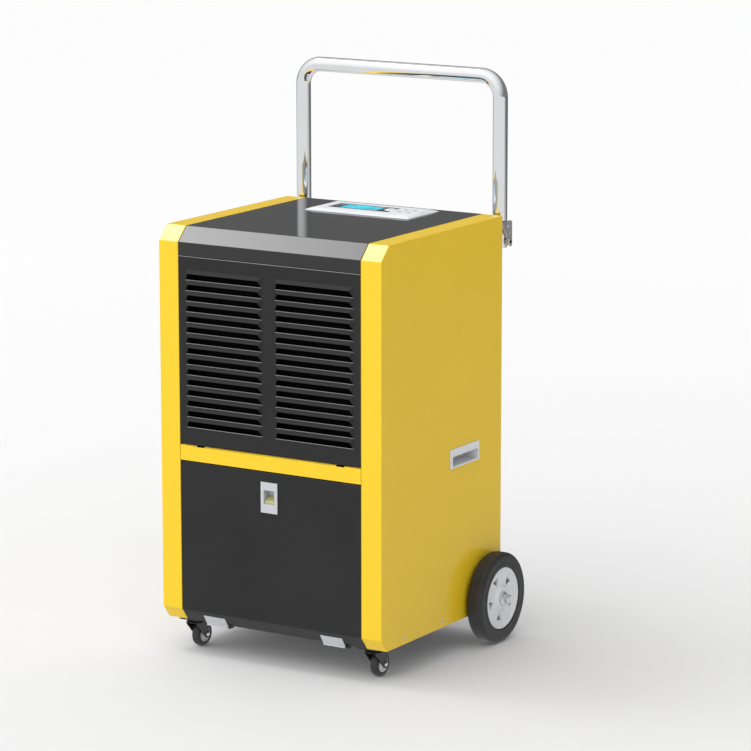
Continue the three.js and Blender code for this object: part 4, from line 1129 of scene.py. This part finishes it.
def caster_fork(word):
    """A pressed crown with two arms that trail to the wheel's bolt."""
    node = "caster_fork_" + word
    wheel = middle_of("caster_tyre_" + word)
    pivot = swivel_axis(word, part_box(node)[1].z)
    mesh = bmesh.new()
    crown = scaled([(4.5, -2.6), (17, -2.6), (17, -1.2), (15.4, 0), (4.5, 0)])
    turned(mesh, softened(crown, 0.6 * MM), ROUND, "Z", pivot)
    front, rear = (
        [pivot.yz + Vector(corner) * MM for corner in FORK[end]] for end in ("front", "rear")
    )
    angles = [between(FORK["foot_arc"], k / 14) for k in range(15)]
    foot = [wheel.yz + FORK["foot"] * Vector((math.cos(a), math.sin(a))) for a in angles]
    for _, side in SIDES:
        span = sorted((wheel.x + side * FORK["inner"], wheel.x + side * FORK["outer"]))
        plate(mesh, front + foot + rear, "X", span, 0.5 * MM)
    return stand_in(mesh, node, "pressed", 40)


CASTER_PLATE = {
    "thick": 2.7 * MM,
    "corner": 6 * MM,
    "edge": 0.4 * MM,
    "screw_radius": 3.4 * MM,
    "screw_rise": 1.4 * MM,
}


def caster_plate(word):
    """The mounting plate with its raceway, kingpin and four bolt heads."""
    node = "caster_plate_" + word
    low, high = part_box(node)
    corner = CASTER_PLATE["corner"]
    under = high.z - CASTER_PLATE["thick"]
    mesh = bmesh.new()
    outline = softened(oblong(low, high), corner, steps=6)
    plate(mesh, outline, "Z", (under, high.z), CASTER_PLATE["edge"])
    race = scaled([(0, -5), (13, -5), (15, -3.4), (15, 0.5), (0, 0.5)])
    turned(mesh, softened(race, 0.8 * MM, False), ROUND, "Z", swivel_axis(word, under))
    length = (under - low.z) / MM
    pin = scaled([(0, 0), (6, 0), (6.3, 0.6), (6.3, 2.2), (4, 2.2), (4, length), (0, length)])
    turned(mesh, pin, SMALL_ROUND, "Z", swivel_axis(word, low.z))
    radius, rise = CASTER_PLATE["screw_radius"], CASTER_PLATE["screw_rise"]
    for x in (low.x + corner, high.x - corner):
        for y in (low.y + corner, high.y - corner):
            pan_head(mesh, (x, y, under), "Z", -1, radius, rise)
    return stand_in(mesh, node, "pressed")


def caster_bolt(word):
    """The wheel's bolt, with a domed head on each side."""
    node = "caster_bolt_" + word
    low, high, middle = span_of(node)
    half = (high.x - low.x) / 2 / MM
    inner = half - 3
    profile = mirrored([(3, inner), (4.6, inner), (4.2, half - 1.2), (2.2, half), (0, half)])
    return lathe(node, "domed", profile, 0.5, "X", middle, SMALL_ROUND)


# ---- hinges


CHAMFER = {"depth": 18 * MM, "height": 24 * MM}  # the sloping foot of the door
LEAF_SCREWS = {"down": 0.58, "lift": 1.15 * MM, "pitch": 14 * MM}  # down: share of the chamfer


def hinge_leaf(word):
    """The door half of a hinge: plate, smooth knuckle and three countersunk screws."""
    node = "hinge_leaf_" + word
    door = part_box("tank_door")[0]
    outward = Vector((0, -CHAMFER["height"], -CHAMFER["depth"])).normalized()
    turn = AXES["Z"].rotation_difference(outward).to_matrix().to_4x4()
    top = door + AXES["Z"] * CHAMFER["height"]
    foot = door + AXES["Y"] * CHAMFER["depth"]
    spot = top.lerp(foot, LEAF_SCREWS["down"]) + outward * LEAF_SCREWS["lift"]
    head = scaled([(0, -0.5), (0.5, -0.5), (0.6, 0.18), (2.3, 0.18), (2.6, 0), (2.6, -0.6), (0, -0.6)])
    mesh = shape_of(node)
    roll_edges(mesh, 0.25 * MM, convex, 2)
    for k in (-1, 0, 1):
        spot.x = middle_of(node).x + k * LEAF_SCREWS["pitch"]
        part = bmesh.new()
        turned(part, head, SMALL_ROUND, "Z", (0, 0, 0))
        absorb(mesh, part, Matrix.Translation(spot) @ turn)
    return stand_in(mesh, node, "stamped")


# ---- controls


BUTTONS = ["power_button"] + [f"set_button_{number}" for number in range(1, 5)]
HOUSING = {
    "lean_front_left": Vector((13, 12, 0)) * MM,  # how far its face lies inside its foot
    "lean_rear_right": Vector((10, 15, 0)) * MM,
    "seat": 0.3 * MM,  # gap over the cover
    "edge": 1.2 * MM,
    "well": (-4.5 * MM, 5 * MM),
    "collar": ((0, -3), (12.5, -3), (12.5, -0.5), (12.0, 0), (0, 0)),  # millimetres
}
LARGE_WELL = (9.9 * MM, ROUND)  # radius and number of sides
SMALL_WELL = (5.0 * MM, 48)
WINDOW_GAP = 0.3 * MM


def control_bezel():
    """The raised housing: rolled edges, a recess for the window, round wells and a collar."""
    low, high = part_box("control_bezel")
    face = high.z
    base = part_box("top_cover")[1].z + HOUSING["seat"]
    mesh = bmesh.new()
    foot = oblong(low, high)
    top = oblong(low + HOUSING["lean_front_left"], high - HOUSING["lean_rear_right"])
    levels = ((foot, base), (top, face))
    capped(mesh, [[mesh.verts.new((x, y, z)) for x, y in outline] for outline, z in levels])
    mesh.normal_update()
    roll_edges(mesh, HOUSING["edge"], lambda edge: min(v.co.z for v in edge.verts) > base + 1 * MM, 4)
    housing = made("control_bezel_moulded", mesh)
    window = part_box("screen_frame")
    below = Vector((WINDOW_GAP, WINDOW_GAP, 0.15 * MM))
    above = Vector((WINDOW_GAP, WINDOW_GAP, 5 * MM))
    carve(housing, [block("recess", window[0] - below, window[1] + above)])
    button = middle_of("power_button")
    collar = bmesh.new()
    turned(collar, scaled(HOUSING["collar"]), ROUND, "Z", (button.x, button.y, face))
    carve(housing, [made("collar", collar)], "UNION")
    wells = []
    for node in BUTTONS:
        radius, steps = LARGE_WELL if node == "power_button" else SMALL_WELL
        spot = middle_of(node)
        wells.append(cylinder("well", radius, "Z", HOUSING["well"], (spot.x, spot.y, face), steps))
    carve(housing, wells)
    # the housing gets the lighter copy of its grey: painted light
    return stand_for(housing, "control_bezel", 30, HOUSING_PAINTED_LIGHT_GREY)


def screen_frame():
    """The dark window, open over the display and round the power button's collar."""
    low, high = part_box("screen_frame")
    pane = block("screen_frame_glass", low, high, 0.3 * MM)
    screen_low, screen_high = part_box("lcd_screen")
    gap = Vector((WINDOW_GAP, WINDOW_GAP, 2 * MM))
    hole = block("hole", screen_low - gap, screen_high + gap)
    button = middle_of("power_button")
    bite = cylinder("bite", 12.8 * MM, "Z", THROUGH_SHEET, (button.x, button.y, high.z))
    return stand_for(carve(pane, [hole, bite]), "screen_frame")


MARKS = {  # millimetres, from the front left corner of the display
    "sunk": -0.02,
    "proud": 0.05,
    "front": 7,
    "bars": 6,
    "first_bar": 30,
    "pitch": 6.5,
    "wide": 4,
    "shortest": 7,
    "growth": 3,
    "ring": (14, 5.2, 6.4),  # its place, inner radius and outer radius
    "line": (8, 12, 2),  # its place, width and depth, in front of the ring
}


def ink(name, colour):
    """Dark marks that let a little of the display's light through."""
    graph = Graph(name)
    shader = graph.add(
        "BsdfPrincipled",
        Base_Color=clouded(graph, colour, "ink tone", 0.1),
        Roughness=graph.varied("ink haze", 0.2, 0.3, 2.0),
        Emission_Color=rgba((0.0, 0.35, 0.5)),
        Emission_Strength=0.6,
    )
    return graph.close(shader)


def screen():
    """The display, with a generic row of level bars and two plain symbols as raised marks."""
    eased("lcd_screen", 0.15 * MM, 2)
    low, high, middle = span_of("lcd_screen")
    corner = Vector((low.x, low.y, high.z))
    sunk, proud = MARKS["sunk"], MARKS["proud"]
    mesh = bmesh.new()

    def bar(left, wide, tall):
        start = Vector((left, MARKS["front"], sunk)) * MM
        end = Vector((left + wide, MARKS["front"] + tall, proud)) * MM
        slab(mesh, corner + start, corner + end)

    for k in range(MARKS["bars"]):
        left = MARKS["first_bar"] + MARKS["pitch"] * k
        bar(left, MARKS["wide"], MARKS["shortest"] + MARKS["growth"] * k)
    bar(*MARKS["line"])
    left, inner, outer = MARKS["ring"]
    ring = scaled(oblong((inner, sunk), (outer, proud)))
    turned(mesh, ring, SMALL_ROUND, "Z", (low.x + left * MM, middle.y + 6 * MM, high.z))
    mark_ink = ink("mark_ink", (0.01, 0.12, 0.2))
    dressed(made("lcd_marks", mesh), "cabinet", "screen", material=mark_ink)


def button(node):
    """A domed cap with a shallow finger dish."""
    low, high, middle = span_of(node)
    radius = (high.x - low.x) / 2 / MM
    depth = (high.z - low.z) / MM
    dish = radius * 0.04
    profile = [(0, 0), (radius, 0), (radius, depth - 0.9), (radius * 0.96, depth - 0.25)]
    profile += [(radius * 0.84, depth), (radius * 0.6, depth - dish * 0.5), (0, depth - dish)]
    return lathe(node, "cap", profile, 0.5, "Z", (middle.x, middle.y, low.z), ROUND, 50)


# ---- inside


COIL = {
    "end_plate": 1.5 * MM,
    "fins": 190,
    "half_fin": 0.3 * MM,
    "fin_inset": Vector((3, 2, 3)) * MM,  # the fin pack inside the end plates' box
    "bends": 4,
    "bend_radius": 10 * MM,
    "tube": 4 * MM,
}


def coil(node):
    """A finned coil: end plates, a fin pack of thin sheets, and the tubes that show at one end."""
    low, high, middle = span_of(node)
    half = -low.x
    mesh = bmesh.new()
    for side in (-1, 1):
        x = sorted((side * half, side * (half - COIL["end_plate"])))
        slab(mesh, (x[0], low.y, low.z), (x[1], high.y, high.z), 0.3 * MM)
    inset = COIL["fin_inset"]
    first, last = low + inset, high - inset
    for k in range(COIL["fins"]):
        x = between((inset.x - half, half - inset.x), k / (COIL["fins"] - 1))
        start = (x - COIL["half_fin"], first.y, first.z)
        slab(mesh, start, (x + COIL["half_fin"], last.y, last.z))
    spacing = (high.z - low.z) / COIL["bends"]
    root, reach = half - 2 * MM, high.x - COIL["tube"]
    for k in range(COIL["bends"]):
        below, above = (low.z + spacing * (k + share) for share in (0.25, 0.75))
        corners = [(x, middle.y, below) for x in (root, reach)]
        corners += [(x, middle.y, above) for x in (reach, root)]
        piped(mesh, rounded_path(corners, COIL["bend_radius"], 8), COIL["tube"], 20)
    return stand_in(mesh, node, "finned")


def cabinet_point(x, y, z):
    """A place given in millimetres from the cabinet's middle, front face and underside."""
    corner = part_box("side_panel_right")[0]
    return Vector((x * MM, corner.y + y * MM, corner.z + z * MM))


PIPE = {
    "start_x": -170.3,  # millimetres in the cabinet, as for cabinet_point
    "down_x": -181,
    "run_z": 280,
    "end_z": 250.4,
}


def pipe(node, coil_node, start_z, down_y, port):
    """A drawn pipe from a coil, down beside the wall and over to a port of the compressor."""
    coil_y = (middle_of(coil_node).y - cabinet_point(0, 0, 0).y) / MM
    corners = [
        cabinet_point(PIPE["start_x"], coil_y, start_z),
        cabinet_point(PIPE["down_x"], coil_y, start_z),
        cabinet_point(PIPE["down_x"], down_y, start_z),
        cabinet_point(PIPE["down_x"], down_y, PIPE["run_z"]),
        cabinet_point(*port, PIPE["run_z"]),
        cabinet_point(*port, PIPE["end_z"]),
    ]
    mesh = bmesh.new()
    piped(mesh, rounded_path(corners, 9 * MM, 8), 4 * MM, 20)
    return stand_in(mesh, node, "drawn")


COMPRESSOR = {
    "place": (-105, 300, 0),  # millimetres in the cabinet, as for cabinet_point
    "can": (
        (0, 14), (30, 14), (46, 18), (58, 27), (62, 40), (62, 148), (64, 149), (64, 153), (62, 154),
        (62, 220), (58, 233), (46, 242), (30, 246), (0, 246),
    ),
    "neck": ((0, 9), (36, 9), (36, 26), (0, 26)),
    "foot": Vector((66, 60, 0)) * MM,  # half its width and depth
    "foot_span": (6 * MM, 10 * MM),
    "stud": ((0, 2.3), (7.4, 2.3), (8, 3), (8, 5), (7.2, 6), (7.2, 10), (5, 12), (0, 12)),
    "studs": [(x, y) for x in (-54, 54) for y in (-48, 48)],
    "port": ((3, 222), (6, 222), (6, 249), (5, 250), (3, 250)),
    "ports": [(-24, -16), (20, 18)],
}


def compressor():
    """The welded can on its foot plate and rubber studs, with two stub ports."""
    centre = cabinet_point(*COMPRESSOR["place"])
    mesh = bmesh.new()
    can = softened(scaled(COMPRESSOR["can"]), 6 * MM, False)
    turned(mesh, can, ROUND, "Z", centre)
    outline = oblong(centre - COMPRESSOR["foot"], centre + COMPRESSOR["foot"])
    span = [centre.z + z for z in COMPRESSOR["foot_span"]]
    plate(mesh, softened(outline, 12 * MM, steps=6), "Z", span, 0.6 * MM)
    turned(mesh, scaled(COMPRESSOR["neck"]), ROUND, "Z", centre)
    for kind in ("stud", "port"):
        for x, y in COMPRESSOR[kind + "s"]:
            turned(mesh, scaled(COMPRESSOR[kind]), SMALL_ROUND, "Z", centre + Vector((x, y, 0)) * MM)
    return stand_in(mesh, "compressor", "can")


def insides():
    """Everything behind the panels."""
    coil("evaporator")
    coil("condenser")
    pipe("suction_pipe", "evaporator", 372, 250, (-129, 284))
    pipe("discharge_pipe", "condenser", 400, 275, (-85, 318))
    compressor()
    eased("drip_tray", 0.5 * MM, 2)
    eased("control_box", 0.6 * MM, 2)
    eased("water_tank", 1.0 * MM, 3)
    eased("tank_float", 0.9 * MM, 3)
    fan_shroud()
    fan_motor()
    fan_rotor()


# ---- studio


FLOOR = {
    "reach": 60.0,
    "near": (0.71, 0.71, 0.71),
    "far": (0.80, 0.80, 0.80),
    "fade": (0.9, 4.5),  # distances from the machine
    "glow_share": (0.03, 0.9),  # how much of the floor's tone is its own light, near and far
    "glow": 0.985,
    "mirrored": (0.80, 0.16),  # its tone in polished metal, in front of the machine and behind it
    "mirror_span": (0.5, 5.0),
}
SKY = {
    "toward": (-0.63, -0.68, 0.38),
    "tone": (0.0, 1.86),  # away from that side, and on it
    "mirror_toward": (-0.3, -0.6, 0.74),
    "mirrored": (0.2, 1.15),  # in polished surfaces, low behind the machine and high in front of it
    "mirror_span": (-0.12, 1.0),
}
KEY = {
    "toward": (-0.53, -0.08, 0.845),
    "distance": 4.5,
    "wide": 1.6,
    "high": 1.3,
    "tone": (7.3, 2.3),  # at its lower left edge and its upper right edge
}


def floor():
    """A very wide pale floor that pales into the distance. Polished metal sees it a little darker."""
    mesh = bmesh.new()
    reach = FLOOR["reach"]
    corners = oblong((-reach, -reach), (reach, reach))
    mesh.faces.new([mesh.verts.new((x, y, 0)) for x, y in corners])
    thing = made("studio_floor", mesh)
    graph = Graph("floor_paper")
    distance = graph.worked_out("VectorMath", "LENGTH", graph.place()).outputs["Value"]
    fibre = graph.varied("paper fibre", 0.0, 1.0, 4.0)
    near = graph.mix(fibre, rgba(FLOOR["near"], 0.995), rgba(FLOOR["near"], 1.005))
    paper = graph.add(
        "BsdfPrincipled",
        Base_Color=graph.mix(graph.level(distance, 0.0, 1.0, FLOOR["fade"]), near, rgba(FLOOR["far"])),
        Roughness=0.9,
        Specular_IOR_Level=0.0,
    )
    glow = graph.add("Emission", Strength=FLOOR["glow"])
    seen = graph.choose(graph.level(distance, *FLOOR["glow_share"], FLOOR["fade"]), paper, glow)
    depth = graph.add("SeparateXYZ", Vector=graph.place()).outputs["Y"]
    shine = graph.level(depth, *FLOOR["mirrored"], FLOOR["mirror_span"])
    in_mirrors = graph.add("Emission", Strength=shine)
    polished = graph.add("LightPath").outputs["Is Glossy Ray"]
    thing.data.materials.append(graph.close(graph.choose(polished, seen, in_mirrors)))


def world():
    """A soft sky, brightest in front of the machine. Polished surfaces see it darker at the horizon."""
    sky = bpy.data.worlds.new("studio_sky")
    bpy.context.scene.world = sky
    graph = Graph("studio_sky", sky)
    direction = graph.add("TexCoord").outputs["Generated"]

    def along(toward):
        return graph.worked_out("VectorMath", "DOT_PRODUCT", direction, toward).outputs["Value"]

    white = rgba((1, 1, 1))
    tone = graph.level(along(SKY["toward"]), *SKY["tone"], (-1.0, 1.0))
    shine = graph.level(along(SKY["mirror_toward"]), *SKY["mirrored"], SKY["mirror_span"])
    soft = graph.add("Background", Color=white, Strength=tone)
    in_mirrors = graph.add("Background", Color=white, Strength=shine)
    polished = graph.add("LightPath").outputs["Is Glossy Ray"]
    graph.close(graph.choose(polished, soft, in_mirrors), "OutputWorld")


def key_light():
    """A softbox high on the left: it shines in the front chamfer and throws the floor shadow."""
    lamp = bpy.data.lights.new("key", "AREA")
    lamp.shape = "RECTANGLE"
    lamp.size = KEY["wide"]
    lamp.size_y = KEY["high"]
    lamp.energy = 4 * KEY["wide"] * KEY["high"]
    graph = Graph("key", lamp)
    rise = graph.add("SeparateXYZ", Vector=graph.add("NewGeometry").outputs["Parametric"]).outputs["Y"]
    glow = graph.add("Emission", Strength=graph.level(rise, *KEY["tone"], (0.0, 1.0)))
    graph.close(glow, "OutputLight")
    thing = bpy.data.objects.new("key", lamp)
    bpy.context.scene.collection.objects.link(thing)
    toward = Vector(KEY["toward"]).normalized()
    low, high, _ = span_of("top_cover")
    thing.location = Vector((0, low.y, high.z)) + toward * KEY["distance"]
    thing.rotation_euler = (-toward).to_track_quat("-Z", "Y").to_euler()


CAMERA = {
    "place": (3.5111, -5.5267, 1.8302),
    "azimuth": math.radians(31.813),
    "elevation": math.radians(11.402),
    "roll": math.radians(-0.045),
    "lens": 171.5,
    "sensor": 36.0,
    "far": 200.0,
}


def camera():
    """The camera, on the line that looks down on the machine from its right front."""
    lens = bpy.data.cameras.new("camera")
    lens.sensor_width = CAMERA["sensor"]
    lens.lens = CAMERA["lens"]
    lens.clip_end = CAMERA["far"]
    thing = bpy.data.objects.new("camera", lens)
    bpy.context.scene.collection.objects.link(thing)
    turn = Euler((math.pi / 2 - CAMERA["elevation"], 0, CAMERA["azimuth"])).to_matrix()
    turn @= Matrix.Rotation(CAMERA["roll"], 3, "Z")
    thing.matrix_world = Matrix.Translation(CAMERA["place"]) @ turn.to_4x4()
    bpy.context.scene.camera = thing


# ---- the machine


def rest_with_materials():
    """CAD nodes that still show get the fine material of their slot."""
    for node, thing in frame["nodes"].items():
        if not thing.hide_render:
            for slot in thing.material_slots:
                slot.material = MATERIALS[SLOT_OF[node]]


shell()
rear_screws()
rear_panel()
outlet_guard()
push_handle()
rear_axle()
for word, side in SIDES:
    side_screws(word, side)
    handle_bracket(word)
    pivot_bolt(word)
    rear_tyre(word, side)
    rear_rim(word, side)
    hub_cap(word, side)
    caster_wheel(word)
    caster_fork(word)
    caster_plate(word)
    caster_bolt(word)
    hinge_leaf(word)
    eased("hinge_pin_" + word, 0.2 * MM, 2)
control_bezel()
screen_frame()
screen()
for node in BUTTONS:
    button(node)
insides()
rest_with_materials()

floor()
world()
key_light()
camera()
bpy.context.scene.view_settings.view_transform = "Standard"
